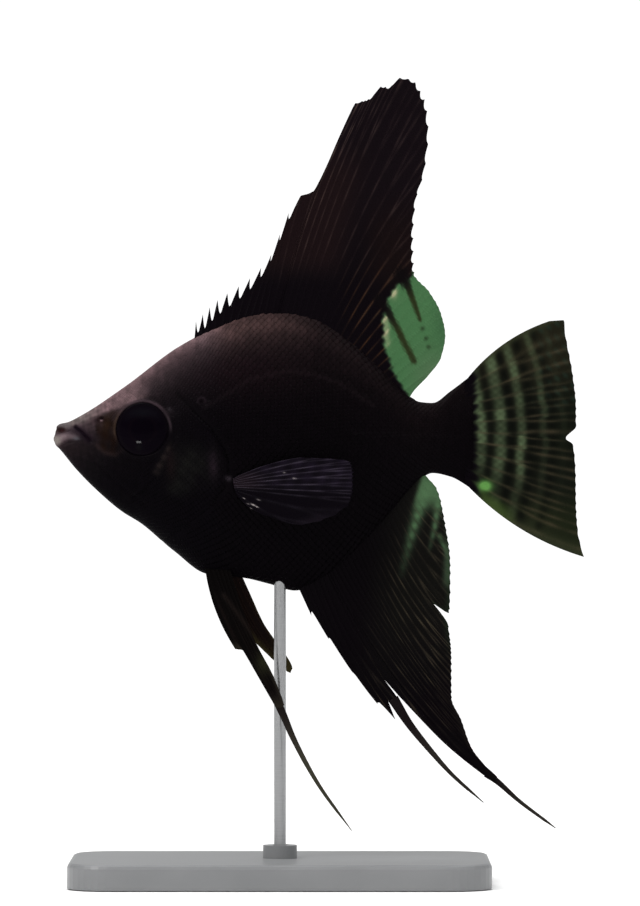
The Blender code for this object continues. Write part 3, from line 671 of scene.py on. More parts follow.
def turned_eye(word, side):
    radius = np.linspace(0, 1, EYE_RINGS) ** 0.9 * (EYE_RADIUS + TUCK)
    level = float(half_width(EYE_X)) - 0.1
    bulge = EYE_FRONT * (1 - (radius / EYE_RADIUS) ** 2) + 0.015 * fall(1.6, 2.9, radius)
    bulge = bulge - 0.5 * fade(EYE_RADIUS - 0.1, EYE_RADIUS + TUCK, radius)
    angle = np.linspace(0, 2 * math.pi, EYE_SPOKES, endpoint=False)
    r, a = np.meshgrid(radius, angle, indexing="ij")
    across, up = r * np.cos(a), r * np.sin(a)
    lean = (1 - (r / EYE_RADIUS) ** 2).clip(0) * (-0.195 * up - 0.03 * across)
    points = np.stack([EYE_X + across, side * (level + bulge[:, None] + lean), EYE_Z + up], axis=-1)
    behind = points[-1:] * (1, 0, 1) + np.array([0, side * (level - EYE_BACK), 0])
    shades = eye_shades(np.concatenate([r, r[-1:]]), np.concatenate([a, a[-1:]]))
    quads = net_quads(EYE_RINGS + 1, EYE_SPOKES, closed=True)
    return mesh_piece(
        "ball_" + word, np.concatenate([points, behind]).reshape(-1, 3), quads if side > 0 else quads[:, ::-1],
        shades.reshape(-1, 3), eye_finish, replaces=("eye_" + word,),
    )


eyes = [turned_eye("left", LEFT), turned_eye("right", RIGHT)]
print("eyes:", [len(eye.data.polygons) for eye in eyes])

# %% [markdown]
# ## Fins
# A fin is a fan of rays joined by a thin web. Each row below names one ray: where its foot stands, where its tip
# ends, and how far it bows. Between the named rays the fan is filled in evenly, so a handful of rows draws the whole
# outline. The rays stand up as ridges that fork on their way out, the web hangs back between them as small scallops,
# and spines stick out of it in front. Foot rows sink a little into the skin, so that no gap shows at the root.

# %% The fan of a fin, in millimetres
ROOT_DEPTH = 1.3
FILLED_IN_PER_RAY = 9
BY_A_SPINE = 0.06
WEB_DIP = ((0, 0), (0.20, 0.58), (0.40, 1), (0.55, 0.95), (0.80, 0.45), (1, 0))
RAY_WIDE, RAY_TAPER, FORK_APART = 0.17, 0.05, 0.22
Plan = namedtuple("Plan", "x z s t ridge along count")


def fan(
    rows, turn, count_rows, line=None, depth=0, spines=0, notch=(0, 0), scallop=0.2, coarse=0.34, pitch=1, levels=90,
    forks=(0.6, 0.95),
):
    """The fan as arrays: points x and z, ray number s, share t and distance along a ray, height of the ridges, and
    ray count. Rows without a height for the foot stand along a line of the body."""
    table = np.array([row if line is None else (*row[:2], 0, *row[2:]) for row in rows], float)
    numbers = [table[:1, 0]]
    for low, high in zip(table[:-1], table[1:]):
        wide = np.hypot(high[3] - low[3], high[4] - low[4])
        steps = max(math.ceil(wide / coarse), math.ceil((high[0] - low[0]) * FILLED_IN_PER_RAY / pitch), 1)
        numbers.append(np.linspace(low[0], high[0], steps + 1)[1:])
    spine = np.arange(spines + 1)
    s = np.unique(np.concatenate([*numbers, spine, spine[:-1] + BY_A_SPINE, spine[1:] - BY_A_SPINE]))
    foot = np.stack([np.interp(s, table[:, 0], table[:, column]) for column in (1, 2)], axis=1)
    if line is not None:
        foot[:, 1] = line(foot[:, 0]) + depth
    tip = np.stack([line_through(table, column)(s) for column in (3, 4)], axis=1)
    length = np.hypot(*(tip - foot).T)
    count = np.interp(s, *zip(*count_rows))
    dip = np.minimum(np.interp(s, [0, max(spines, 1)], notch), 0.82 * (length - ROOT_DEPTH))
    soft = np.interp(s, [spines, spines + 0.8], [0, 1]) * (scallop(s) if callable(scallop) else scallop)
    soft = soft * np.abs(np.sin(2 * math.pi * count / pitch)) ** 0.8
    reach = 1 - np.where(s < spines, dip * np.interp(s % 1, *zip(*WEB_DIP)), soft) / length
    t = np.linspace(0, 1, levels)[None, :] * reach[:, None]
    way = (tip - foot) / length[:, None]
    bow = np.stack([-way[:, 1], way[:, 0]], axis=1) * (turn * np.interp(s, table[:, 0], table[:, 5]))[:, None]
    flat = foot[:, None] + (tip - foot)[:, None] * t[..., None] + bow[:, None] * (4 * t * (1 - t))[..., None]
    off = ((count / pitch + 0.5) % 1 - 0.5)[:, None]
    fork = FORK_APART * fade(*forks, t) * (s > spines + 0.5)[:, None]
    wide = RAY_WIDE - RAY_TAPER * t
    ridge = np.maximum(hump(off, fork, wide), hump(off, -fork, wide))
    s, count = (value[:, None] + 0 * t for value in (s, count))
    return Plan(flat[..., 0], flat[..., 1], s, t, ridge, t * length[:, None], count)


print("feet of the fins:", ROOT_DEPTH, "mm deep")

# %% Threads, and the solid of a fin
THREAD_ROWS, THREAD_SPOKES = 60, 10
EDGE_HALF, RAY_HALF = 0.12, 0.10
THREAD_ROOT = (24, 19, 20)


def strand(path, first_width):
    """A thread that tapers along its path of (across, up, width): middle points, sideways directions and widths."""
    way = np.array(path, float)[:, :2]
    gone = np.r_[0, np.cumsum(np.hypot(*np.diff(way, axis=0).T))]
    even = np.linspace(0, gone[-1], THREAD_ROWS)
    middle = np.stack([line_through(list(zip(gone, way[:, k])))(even) for k in (0, 1)], axis=1)
    width = np.interp(even, gone, [first_width] + [w for _, _, w in path[1:]])
    run = np.gradient(middle, axis=0)
    run /= np.hypot(*run.T)[:, None]
    return middle, np.stack([run[:, 1], -run[:, 0]], axis=1), width * np.interp(even / gone[-1], [0.85, 1], [1, 0.35])


def fin_piece(name, plan, shades_of, place, root_half, replaces, streamers=(), ripple=0.2, strand_shades=(46, 42, 38)):
    """Both faces of a fan, joined round the edge, with its threads."""
    half = EDGE_HALF + (root_half - EDGE_HALF) * (1 - plan.t) ** 2.4 + RAY_HALF * plan.ridge * (1 - 0.4 * plan.t)
    sway = ripple * plan.t ** 2 * np.sin(plan.count * 0.9 + plan.t * 3)
    points = np.concatenate([place(plan.x, plan.z, sway + sign * half).reshape(-1, 3) for sign in (1, -1)])
    quads = [both_faces(*plan.x.shape)]
    shades = np.tile(shades_of(plan).reshape(-1, 3), (2, 1))
    ridge, along = np.tile(plan.ridge.ravel(), 2), np.tile(plan.along.ravel(), 2)
    angle = np.linspace(0, 2 * math.pi, THREAD_SPOKES, endpoint=False)
    down = np.linspace(0, 1, THREAD_ROWS)[:, None] * np.ones(THREAD_SPOKES)
    for path, first_width in streamers:
        middle, aside, width = strand(path, first_width)
        across = middle[:, None] + aside[:, None] * (width[:, None] / 2 * np.cos(angle))[..., None]
        thick = np.minimum(width[:, None] / 2, 0.2) * np.sin(angle)
        first, last = len(points), len(points) + (THREAD_ROWS - 1) * THREAD_SPOKES
        quads.append(net_quads(THREAD_ROWS, THREAD_SPOKES, closed=True, first=first))
        quads.append(np.array([[first + k for k in (0, 3, 5, 8)], [last + k for k in (8, 5, 3, 0)]]))
        points = np.concatenate([points, place(across[..., 0], across[..., 1], thick).reshape(-1, 3)])
        thread_shades = paint(ground(down, THREAD_ROOT), down, down, (strand_shades, fade(0.1, 0.6, down)))
        shades = np.concatenate([shades, thread_shades.reshape(-1, 3)])
        ridge = np.concatenate([ridge, np.full(down.size, 0.4)])
        along = np.concatenate([along, (down * 20).ravel()])
    extra = {"ridge": ridge, "along": along}
    return mesh_piece(name, points, np.concatenate(quads), shades, fin_finish, replaces=replaces, extra=extra)


print("edge of a fin:", 2 * EDGE_HALF, "mm thick, and at a ray", 2 * (EDGE_HALF + RAY_HALF), "mm")

# %% The finish of the fins: a web with jointed rays
JOINTS_PER_MM = 1.9
JOINT_DEPTH = 0.00004


def rayed(name):
    finish = finish_of(name, 0.40, 0.015, 3000, mottle=0.16, bump=0.12)
    tree = finish.node_tree
    dents = next(n for n in tree.nodes if n.type == "BUMP")
    ridge = node(tree, "Attribute", attribute_name="ridge")
    along = node(tree, "Attribute", attribute_name="along")
    wave = node(tree, "Math", {1: 2 * math.pi * JOINTS_PER_MM}, operation="MULTIPLY")
    sine = node(tree, "Math", operation="SINE")
    joints = node(tree, "Math", operation="MULTIPLY")
    notches = node(tree, "Bump", {"Strength": 0.35, "Distance": JOINT_DEPTH})
    wire(
        tree, (along, "Fac", wave, 0), (wave, "Value", sine, 0), (sine, "Value", joints, 0), (ridge, "Fac", joints, 1),
        (joints, "Value", notches, "Height"), (dents, "Normal", notches, "Normal"),
        (notches, "Normal", tree.nodes["Principled BSDF"], "Normal"),
    )
    return finish


def in_the_middle(x, z, off):
    return np.stack([x, off, z], axis=-1)


def uneven(plan, seed, low=0.25):
    """A brightness for each ray, broken up along it, so that no two rays show alike."""
    pick = np.random.default_rng(seed)
    number = np.round(plan.count).astype(int) % 64
    strength, phase = pick.uniform(low, 1, 64)[number], pick.uniform(0, 6.3, 64)[number]
    return strength * (0.62 + 0.38 * np.sin(plan.along * 0.9 + phase) * np.sin(plan.along * 0.37 + 2 * phase))


fin_finish = rayed("fin web")
print("joints per millimetre of ray:", JOINTS_PER_MM)

# %% [markdown]
# ## The back fin
# Twelve short spines climb along the back and the soft rays behind them rise into a tall sail, whose rear edge is
# finely notched. Behind the sail hangs a rounded lobe of clear green web, with two dark streaks that run in from the
# black. Tan rays show through the black, and a few at the front are the brightest.

# %% Back fin: ray number, foot x, tip x, tip z, bow
DORSAL = [
    (0, -17.2, -16.8, 112.4, 0), (3, -12.9, -12.5, 116.6, 0), (6, -8.6, -6, 121, 0), (8, -5.8, -1.7, 125.8, 0),
    (9, -4.4, 0, 129.8, 0), (11, -1.5, 4.1, 137.4, 0.3), (11.5, -0.8, 6.5, 138.3, 0.4), (12, 0, 15.1, 156, 1.4),
    (13.7, 2, 18.1, 157, 1.3), (14.6, 3.1, 20.4, 159.4, 1.3), (15.3, 3.9, 21.8, 159.2, 1.3),
    (16.1, 4.9, 24.3, 161.2, 1.3), (16.8, 5.8, 26.7, 160.6, 1.3),
    (17.6, 6.7, 28.3, 158.2, 1.3), (18.4, 7.7, 29.4, 155, 1.2), (19.2, 8.6, 29.8, 150, 1.1),
    (20.2, 9.8, 29, 142.6, 1), (21.2, 11, 27.3, 136.6, 0.8), (22.5, 12.6, 26.7, 129, 0.6),
    (24, 14.4, 26.9, 122.2, 0.4), (26, 16.8, 29.8, 118.4, 0.3), (28, 19.2, 32.2, 114, 0.2),
    (30, 21.6, 33.1, 109.4, 0.2), (31.5, 23.2, 32.2, 105, 0.1), (32.4, 24.4, 29.6, 101.4, 0),
    (33, 25.6, 26.6, 98.4, 0),
]
DORSAL_NOTCHES = ((12, 0.3), (16, 0.4), (17.5, 0.8), (23.5, 0.75), (24.5, 0.12), (33, 0.08))
LOBE_EDGE = [
    (28.4, 124.8), (26.6, 121.6), (24, 119.9), (22.3, 118.6), (21.4, 116.2), (20.5, 113.4), (20.6, 109.6),
    (21, 106.4), (22.4, 102.8), (24, 99.8), (25.4, 97.2),
]
STREAKS = (
    ([(24.2, 121.8), (25.7, 118.9), (26.9, 115.8), (28, 112.6)], (1.5, 0.6, 0.3)),
    ([(19.6, 116.9), (21.3, 114.8), (23.6, 110.6), (25.4, 107), (26.8, 104.4)], (1, 0.6, 0.55)),
)
SPOTS = ((28.5, 110.9), (29.2, 108.9), (29.7, 107.2))


def dorsal_shades(plan):
    x, z, s, t, ridge, *_ = plan
    front = window(119, 126, 140, 150, z) * fall(8, 15, x - 0.18 * (z - 120))
    bright = 0.38 + 0.55 * hump(s, 13, 1.6) + 0.25 * hump(s, 17, 2)
    orange = fade(10, 17, x) * window(98, 106, 118, 127, z)
    shades = paint(
        ground(x, (10, 6, 10)), x, z,
        ((17, 11, 15), fade(116, 140, z)),
        ((28, 17, 18), 0.75 * front),
        ((24, 14, 13), 0.6 * fade(14, 22, x) * window(116, 124, 128, 140, z)),
        ((86, 70, 64), ridge ** 4 * bright * uneven(plan, 5) * fade(0.12, 0.4, t) * (s > 10.5)),
        ((104, 68, 38), 0.75 * ridge ** 4 * uneven(plan, 6, 0.4) * orange),
        ((112, 84, 50), 0.8 * ridge ** 2 * uneven(plan, 11, 0.5) * oval(x, z, 19.2, 113.6, 2, 2)),
    )
    off, side, _ = beside(LOBE_EDGE, x, z)
    inside = np.where(side < 0, off, -off)
    frayed = 0.45 * (ridge - 0.5) * uneven(plan, 12) + 0.3 * ripples(x, z, (0.9, 2.7), (0, 1.3))
    # painted highlights in pale cream along the front edge of the green lobe
    cream_highlight = 1.4 * oval(x, z, 22.8, 117.9, 0.65, 1.1)
    cream_highlight = cream_highlight + 1.3 * hump(inside, 0.6, 0.65) * window(106, 110, 112.9, 113.8, z) * (x < 24)
    green = paint(
        ground(x, (69, 110, 71)), x, z,
        ((82, 110, 79), fade(24, 31, x) * fall(100, 110, z)),
        ((56, 90, 60), 0.5 * fade(29, 33, x) * fade(104, 112, z)),
        ((92, 124, 88), 0.28 * ridge ** 2 * uneven(plan, 7, 0.2)),
        ((172, 170, 134), np.clip(cream_highlight, 0, 1) * (0.45 + 0.55 * ridge)),
    )
    shades = paint(shades, x, z, (green, fade(-0.5, 0.5, inside + frayed)))
    for path, widths in STREAKS:
        off, _, share = beside(path, x, z)
        width = np.interp(share, [0, 0.35, 1], widths) * (1 + 0.3 * ripples(x, z, (7, 5), (0, 2.9)))
        dark = paint(ground(x, (12, 8, 10)), x, z, ((36, 36, 18), fade(0.15, 0.6, share)))
        shades = paint(shades, x, z, (dark, (0.94 - 0.14 * share) * fall(0.3 * width, 1.5 * width + 0.15, off)))
    return paint(
        shades, x, z,
        ((62, 86, 68), 0.6 * ridge ** 2 * uneven(plan, 13) * oval(x, z, 27.6, 126.4, 1.2, 2.2)),
        *(((36, 52, 32), (0.8, *spot, 0.42, 0.42)) for spot in SPOTS),
    )


dorsal = fan(
    DORSAL, 1, [(0, 0), (11.5, 11.5), (12, 14), (33, 35)], back, -ROOT_DEPTH, spines=11, notch=(3.6, 2.9),
    scallop=lambda s: np.interp(s, *zip(*DORSAL_NOTCHES)), levels=100,
)
fin_piece("sail", dorsal, dorsal_shades, in_the_middle, 0.62, ("dorsal_fin",))
print("back fin:", dorsal.x.shape)

# %% [markdown]
# ## The belly fin
# The fin under the tail mirrors the sail: five spines, then rays that sweep back to long trailing points, with a few
# torn ends. Its rear base is windowed with pale green streaks between the rays.

# %% Belly fin
ANAL = [
    (0, 3.4, 6.3, 53.4, 0), (1, 4.4, 9.7, 48.8, 0), (2, 5.4, 14.5, 42.1, 0.6), (3, 6.4, 19.5, 35.8, 1.1),
    (4, 7.4, 23.1, 32.6, 1.3), (4.4, 7.8, 21.7, 36.3, 1.1), (4.8, 8.1, 22.3, 35.8, 1.2), (5.4, 8.6, 23.7, 36.6, 1.6),
    (6.2, 9.3, 20.5, 41, 0), (6.6, 9.6, 33, 27.8, 1.5), (6.8, 9.8, 38, 23.6, 2.4), (7, 10, 42.9, 20.1, 3),
    (7.4, 10.3, 43.6, 20.9, 2.9), (8, 10.8, 41.3, 23.2, 2), (10, 12.4, 38.4, 27, 1.6), (12, 14, 36.4, 32.4, 1.6),
    (14.5, 16, 34.4, 37.3, 1.6), (17, 18, 34.4, 44.6, 1.6), (20, 20.5, 33.7, 51.7, 1.2),
    (20.5, 20.9, 30.9, 55.6, 0.9), (21, 21.3, 33.8, 53.8, 1.1), (24, 23.8, 34.2, 63.4, 1),
    (27, 26.2, 33, 72.6, 0.6), (29, 27.8, 31.5, 78.8, 0.3), (30, 28.4, 29.6, 81, 0),
]
ANAL_THREADS = [
    ([(22.6, 36.9, 1.8), (25.7, 32, 1.6), (29.5, 27.2, 1.2), (34.2, 21.9, 0.8), (40.7, 16.1, 0.5)], 2.2),
    ([(41.2, 21.9, 1.4), (43.2, 20.5, 1.2), (47.6, 16.6, 0.8), (55.1, 11, 0.5)], 1.5),
]
# Each window between the rays: its line, its width and how strongly it shows
WINDOWS = (
    ([(29.8, 81), (28.2, 75.6), (26.4, 69.9), (24.6, 63), (24, 60)], 1.15, 0.95),
    ([(31.7, 76.4), (31, 71.3), (29.6, 65.4)], 0.7, 0.85),
    ([(31.9, 69.4), (34.2, 64.2)], 0.5, 0.7),
)
PALE_GREEN = (80, 112, 78)


def anal_shades(plan):
    x, z, s, t, ridge, *_ = plan
    rear = fade(15, 26, x + 0.12 * (60 - z))
    shades = paint(
        ground(x, (8, 5, 8)), x, z,
        ((18, 18, 15), 0.8 * rear * fade(34, 58, z)),
        ((92, 82, 64), 0.9 * ridge ** 3 * uneven(plan, 8) * rear * fade(18, 36, z) * fade(0.1, 0.3, t)),
    )
    for path, width, cover in WINDOWS:
        off, _, share = beside(path, x, z)
        soft = hump(off, 0, width * (1.2 - 0.6 * share)) * (0.62 + 0.38 * (1 - ridge)) * (0.88 + 0.12 * np.sin(3.1 * z))
        ends = (1 - 0.7 * fade(0.4, 0.9, share)) * fall(0.85, 1, share)
        shades = paint(shades, x, z, (PALE_GREEN, cover * soft * ends))
    return paint(
        shades, x, z,
        (PALE_GREEN, 0.9 * fade(73, 78, z) * fade(-1, 0.4, x - 28.6 + 0.3 * (81 - z))),
        ((70, 92, 68), 0.7 * fade(0.84, 0.96, t) * window(58, 61, 66, 70, z)),
        ((34, 50, 34), 0.5 * fade(0.9, 1, t) * fade(44, 52, z) * (s > 15)),
        ((40, 34, 28), 0.4 * fade(0.9, 1, t) * fade(6.5, 8, s) * fall(26, 40, z)),
    )


anal = fan(
    ANAL, -1, [(0, 0), (4, 4), (6.2, 6.2), (7.4, 8.4), (30, 33)], belly, ROOT_DEPTH, spines=4, notch=(3, 2.4),
    scallop=0.3, levels=100,
)
fin_piece("belly_sail", anal, anal_shades, in_the_middle, 0.62, ("anal_fin",), ANAL_THREADS)
print("belly fin:", anal.x.shape)

# %% [markdown]
# ## The tail
# The tail opens like a fan from the black stalk. Bands of pale green web cross it in slightly arched columns, and
# the brownish rays cut them into small windows with dark squares between. A bright yellow green spot sits at its
# lower corner, where the stalk ends.

# %% Tail: ray number, foot x and z, tip x and z, bow
TAIL = [
    (0, 37, 100.3, 53.9, 112.4, 1.6), (0.5, 37, 99.9, 56.7, 112.6, 1.4), (1, 37, 99.2, 57.2, 109.4, 1),
    (3, 37, 96.5, 58.6, 101.8, 0.4), (5.5, 37, 93.1, 59.3, 95.2, 0.1), (7, 37, 91, 59.3, 91.2, 0),
    (7.5, 37, 90.2, 57.2, 89, 0), (8, 37, 89.5, 58.6, 87.8, 0), (10, 37, 86.5, 59.2, 81.5, 0),
    (12, 37, 83.8, 59.3, 75.6, -0.4), (14, 37, 81, 59.7, 69.9, -1), (15, 37, 80, 60.8, 65.2, -1.9),
]
TAIL_PITCH = 1.25
# Each band of windows: its place, its half width and how strongly it shows
BANDS = ((40, 1.2, 0.95), (44.2, 1.3, 1), (48.3, 1, 0.95), (52.9, 0.8, 0.55), (56.8, 0.7, 0.14))
# Each dark column between them: its place, its half width and its strength
DARK_SQUARES = ((46.2, 0.75, 1), (50.4, 0.95, 1), (54.6, 0.9, 0.7), (42, 0.5, 0.4))


def tail_shades(plan):
    x, z, s, t, ridge, *_ = plan
    arched = x + 0.009 * (z - 89) ** 2
    pane = np.round(plan.count / TAIL_PITCH + 0.5).astype(int) % 16
    pick = np.random.default_rng(9)
    clear = fade(49, 53, x) * fade(92, 98, z) * np.clip(ripples(x, z, (1.9, 0), (1, 2.3)), 0, 1)
    shades = paint(
        ground(x, (14, 16, 11)), x, z,
        ((32, 34, 24), 0.6 * fade(0, 1, np.abs(s - 7.5) / 7.5 - 0.1) * fade(0.25, 0.7, t)),
        ((17, 21, 14), 0.6 * fade(50, 58, x)),
        ((38, 34, 23), 0.5 * fade(96, 105, z)),
        ((34, 40, 22), 0.5 * fall(72, 80, z)),
        ((32, 50, 42), 0.5 * clear),
    )
    for at, width, cover in BANDS:
        patchy = pick.uniform(0.62, 1.15, 16)[pane] * (0.86 + 0.14 * ripples(x, z, (3.1, 0), (0, 4.3), at))
        patchy = patchy * (1 - 0.55 * (at > 50) * fall(84, 92, z)) * (1 - 0.65 * fade(9.8, 13, s))
        from_band = (arched - at - pick.uniform(-0.32, 0.32, 16)[pane]) / width
        shades = paint(shades, x, z, ((80, 95, 68), cover * patchy * np.exp(-((from_band ** 2) ** 1.4))))
    squares = sum(strength * hump(arched, at, width) for at, width, strength in DARK_SQUARES)
    return paint(
        shades, x, z,
        ((8, 10, 7), 0.75 * np.clip(squares, 0, 1) * (1 - ridge)),
        ((76, 66, 50), 0.7 * ridge ** 2 * uneven(plan, 10, 0.45) * fade(0.06, 0.2, t)),
        ((50, 54, 37), 0.7 * (fade(14.2, 15, s) + 1 - fade(0, 0.7, s)) * fade(0.1, 0.3, t)),
        ((96, 150, 76), (1.5, 41, 79.4, 1.35, 1.08)),
        ((64, 84, 40), 0.7 * fade(13.6, 14.6, s) * window(39.5, 41, 44, 48, x)),
        ((8, 5, 9), fall(38.2, 39.7, x + 0.3 * np.sin(s * 4.2) + 0.8 * (ridge - 0.5))),
    )


tail = fan(TAIL, 1, [(0, 0), (15, 15)], scallop=0.16, pitch=TAIL_PITCH, coarse=0.3, levels=110, forks=(0.3, 0.7))
fin_piece("tail", tail, tail_shades, in_the_middle, 0.56, ("tail_fin",), ripple=0.3)
print("tail:", tail.x.shape)

# %% [markdown]
# ## The paired fins
# The breast fins stand off from the flanks and are nearly clear in life: the web takes the dark of the body behind
# it, and pale grey rays cross it. Under the throat hang the two belly feelers: narrow fins whose first rays run on
# as long threads. Each is drawn as seen from the side and then swung outwards about its root.

# %% Breast fins and feelers
PECTORAL = [
    (0, -9.3, 80.9, 4, 85.1, 0.6), (1, -9.3, 80.6, 9, 85, 0.6), (2, -9.3, 80.4, 14.2, 84.3, 0.5),
    (4, -9.2, 79.9, 14.8, 82, 0.3), (6, -9.1, 79.4, 14.8, 79, 0), (8, -9, 78.8, 14.2, 76.2, -0.2),
    (9, -8.9, 78.5, 10.2, 73.2, -0.5), (10, -8.8, 78.2, 4, 71.7, -0.9), (11, -8.7, 77.9, -1.6, 73.2, -0.8),
]
PELVIC_LEFT = [
    (0, -15, 63.2, -8.9, 46.9, 1), (0.6, -14.3, 63.2, -7.4, 46.6, 1.1), (1, -13.8, 63.2, -0.5, 35, 0.6),
    (2, -12.6, 63.2, 0.9, 35.8, 1.1), (3, -11.2, 63.1, -1.2, 41.4, 1.1), (4, -10, 63, -4.6, 47.6, 0.3),
]
PELVIC_RIGHT = [
    (0, -12.4, 63.2, -4.9, 47.9, 0.3), (1, -11, 63.1, -0.4, 43.6, 1), (2, -10.2, 63, 2.1, 41.8, 1.3),
    (2.4, -9.6, 62.9, 2.5, 43, 1.2), (3.2, -8.8, 62.8, -3.3, 51.9, 0.3), (4, -8.2, 62.7, -5.9, 57.6, 0),
]
PELVIC_THREAD = [
    (-3.4, 41.6, 0.8), (-1.5, 38, 1.3), (0.2, 34.9, 1.55), (2.7, 29.2, 1.15), (7.5, 20.4, 0.8), (14.3, 11, 0.45),
]
FEELER_LINE = [(-11.2, 57.6), (-8.4, 53.9), (-4.5, 48.5)]
# Each painted glint on the wet breast fin: its middle and its size
PAINTED_GLINTS = (
    (-7.1, 77, 0.16), (-6.3, 75.9, 0.22), (-5.3, 75.7, 0.32), (-4.5, 75.3, 0.2), (-4.2, 76.7, 0.26),
    (-5.8, 75, 0.18), (0.9, 82.1, 0.2), (2.9, 81, 0.22),
)
BREAST_SPREAD, FEELER_SPREAD = math.tan(math.radians(13.5)), math.tan(math.radians(9))
BREAST_ROOT_X, BREAST_ROOT_Y, FEELER_ROOT_Y, FEELER_ROOT_Z = -8.8, 7.15, 0.9, 63.2


def swung(side, root_y, spread, past_root):
    """Swings a fin outwards, the further the more of it lies past its root."""
    def place(x, z, off):
        return np.stack([x, side * (root_y + np.clip(past_root(x, z), 0, None) * spread) + off, z], axis=-1)
    return place


def swung_back(side):
    return swung(side, BREAST_ROOT_Y, BREAST_SPREAD, lambda x, z: x - BREAST_ROOT_X)


def swung_down(side):
    return swung(side, FEELER_ROOT_Y, FEELER_SPREAD, lambda x, z: FEELER_ROOT_Z - z)


def breast_shades(plan):
    x, z, s, t, ridge, *_ = plan
    cloud = 0.6 + 0.4 * ripples(x, z, (1.3, 0.9), (0.8, -1.7))
    rays = ridge ** 2 * uneven(plan, 14, 0.6) * (1 - 0.3 * fade(0.5, 1, t)) * (1 - 0.75 * fade(6, 9, s))
    return paint(
        ground(x, (8, 5, 10)), x, z,
        ((25, 19, 31), 0.8 * cloud * fall(4.5, 8, s) * fade(0.1, 0.4, t)),
        ((46, 34, 40), 0.5 * fall(0.05, 0.35, t) * fall(6, 8, s)),
        ((84, 77, 90), 0.9 * rays),
        ((30, 24, 32), 0.5 * hump(s, 9.4, 0.7) * fade(0.75, 0.95, t)),
        # painted glints on the wet web
        *(
            ((198, 190, 184), (0.5 + 0.4 * ridge) * oval(x, z + 0.3 * (x - at_x), at_x, at_z, 1.5 * size, 0.6 * size))
            for at_x, at_z, size in PAINTED_GLINTS
        ),
    )


def feeler_shades(plan):
    x, z, t = plan.x, plan.z, plan.t
    return paint(
        ground(x, (8, 6, 6)), x, z,
        ((26, 18, 16), 0.45 * plan.ridge * fade(0.2, 0.5, t)),
        ((44, 35, 31), 0.4 * hump(beside(FEELER_LINE, x, z)[0], 0, 0.5)),
        ((44, 46, 28), (0.7, -3.2, 44.3, 1.6, 2.4)),
        ((62, 58, 48), 0.5 * fade(0.85, 1, t)),
    )


def far_feeler_shades(plan):
    glazes = ((42, 29, 22), 0.5 * plan.ridge), ((70, 66, 36), 0.7 * fade(0.6, 1, plan.t))
    return paint(ground(plan.x, (20, 12, 11)), plan.x, plan.z, *glazes)


breast = fan(PECTORAL, 1, [(0, 0), (11, 10)], scallop=0.5, coarse=0.2, levels=70)
for side, word in ((LEFT, "left"), (RIGHT, "right")):
    fin_piece(
        "breast_fin_" + word, breast, breast_shades, swung_back(side), 0.5, ("pectoral_fin_" + word,), ripple=0.15,
    )
near = fan(PELVIC_LEFT, -1, [(0, 0), (4, 6)], coarse=0.22, levels=90)
far = fan(PELVIC_RIGHT, -1, [(0, 0), (4, 6)], coarse=0.22, levels=80)
fin_piece(
    "feeler_left", near, feeler_shades, swung_down(LEFT), 0.5, ("pelvic_fin_left",), [(PELVIC_THREAD, 0.8)],
    ripple=0.1, strand_shades=(62, 60, 50),
)
fin_piece("feeler_right", far, far_feeler_shades, swung_down(RIGHT), 0.5, ("pelvic_fin_right",), ripple=0.1)
print("breast fin:", breast.x.shape, "feelers:", near.x.shape, far.x.shape)

# %% [markdown]
# ## The coat of scales
# Each scale is a thin curved plate. Its front is sunk in the skin and its rear edge stands free over the two scales
# behind it. They are set out on the body's own net: columns along the fish, steps round it, every other column half
# a step up. The distance between them shrinks towards the face and the tail, so the smallest lie on the cheeks. Every
# point of a plate is placed on the skin by its address and then lifted, which bends the plate over the body.

# %% Setting out the scales
FIRST_SCALE_X = -38
PITCH = line_through([
    (FIRST_SCALE_X, 0.56), (-31, 0.62), (-24, 0.80), (-16, 1.10), (-6, 1.42), (14, 1.46), (24, 1.15), (32, 0.86),
    (TAIL_BASE_X, 0.70),
])
TALL = 1.14
KEEL_GAP = 0.45
MUZZLE_END, BARE_ROUND_EYE, BARE_ROUND_PORE, BARE_BY_CHEEK, BARE_BY_GILL = -33.2, 0.85, 1, 0.6, 0.75
BARE_X, BARE_Z, BARE_WIDE, BARE_TALL = -9.2, 79.6, 1.5, 2.7


def on_net(net, x, around):
    """Values of a net at places given by the distance along and the share of the way round (0 belly, 1 back)."""
    i = np.clip(np.interp(x, station_x, np.arange(len(station_x))), 0, len(station_x) - 1.001)
    j = np.clip(around * STEPS, 0, STEPS - 0.001)
    i0, j0 = i.astype(int), j.astype(int)
    fi, fj = (i - i0)[..., None], (j - j0)[..., None]
    low = net[i0, j0] * (1 - fi) + net[i0 + 1, j0] * fi
    high = net[i0, j0 + 1] * (1 - fi) + net[i0 + 1, j0 + 1] * fi
    return low * (1 - fj) + high * fj


def girth_at(x):
    """Half the girth at x, and how much of it lies below the widest line."""
    return np.interp(x, station_x, half_girth), np.interp(x, station_x, to_widest)


def scale_sites(first_x, last_x):
    """Roots of the scales on one side: distance along, and rows above or below the widest line."""
    fine = np.linspace(FIRST_SCALE_X, TAIL_BASE_X, 4000)
    count = np.concatenate([[0], np.cumsum(np.diff(fine) / PITCH(fine[:-1]))])
    numbers = np.arange(1, int(count[-1] * 2))
    sites = []
    for number, at in zip(numbers, np.interp(numbers / 2, count, fine)):
        if not first_x <= at < last_x:
            continue
        step = PITCH(at) * TALL
        girth, middle = girth_at(at)
        row = np.arange(math.ceil(-middle / step), math.floor((girth - middle) / step) + 1) + 0.5 * (number % 2)
        height = row * step + middle
        row = row[(height > KEEL_GAP * step) & (height < girth - KEEL_GAP * step)]
        sites.append(np.stack([np.full(row.shape, at), row], axis=1))
    return np.concatenate(sites)


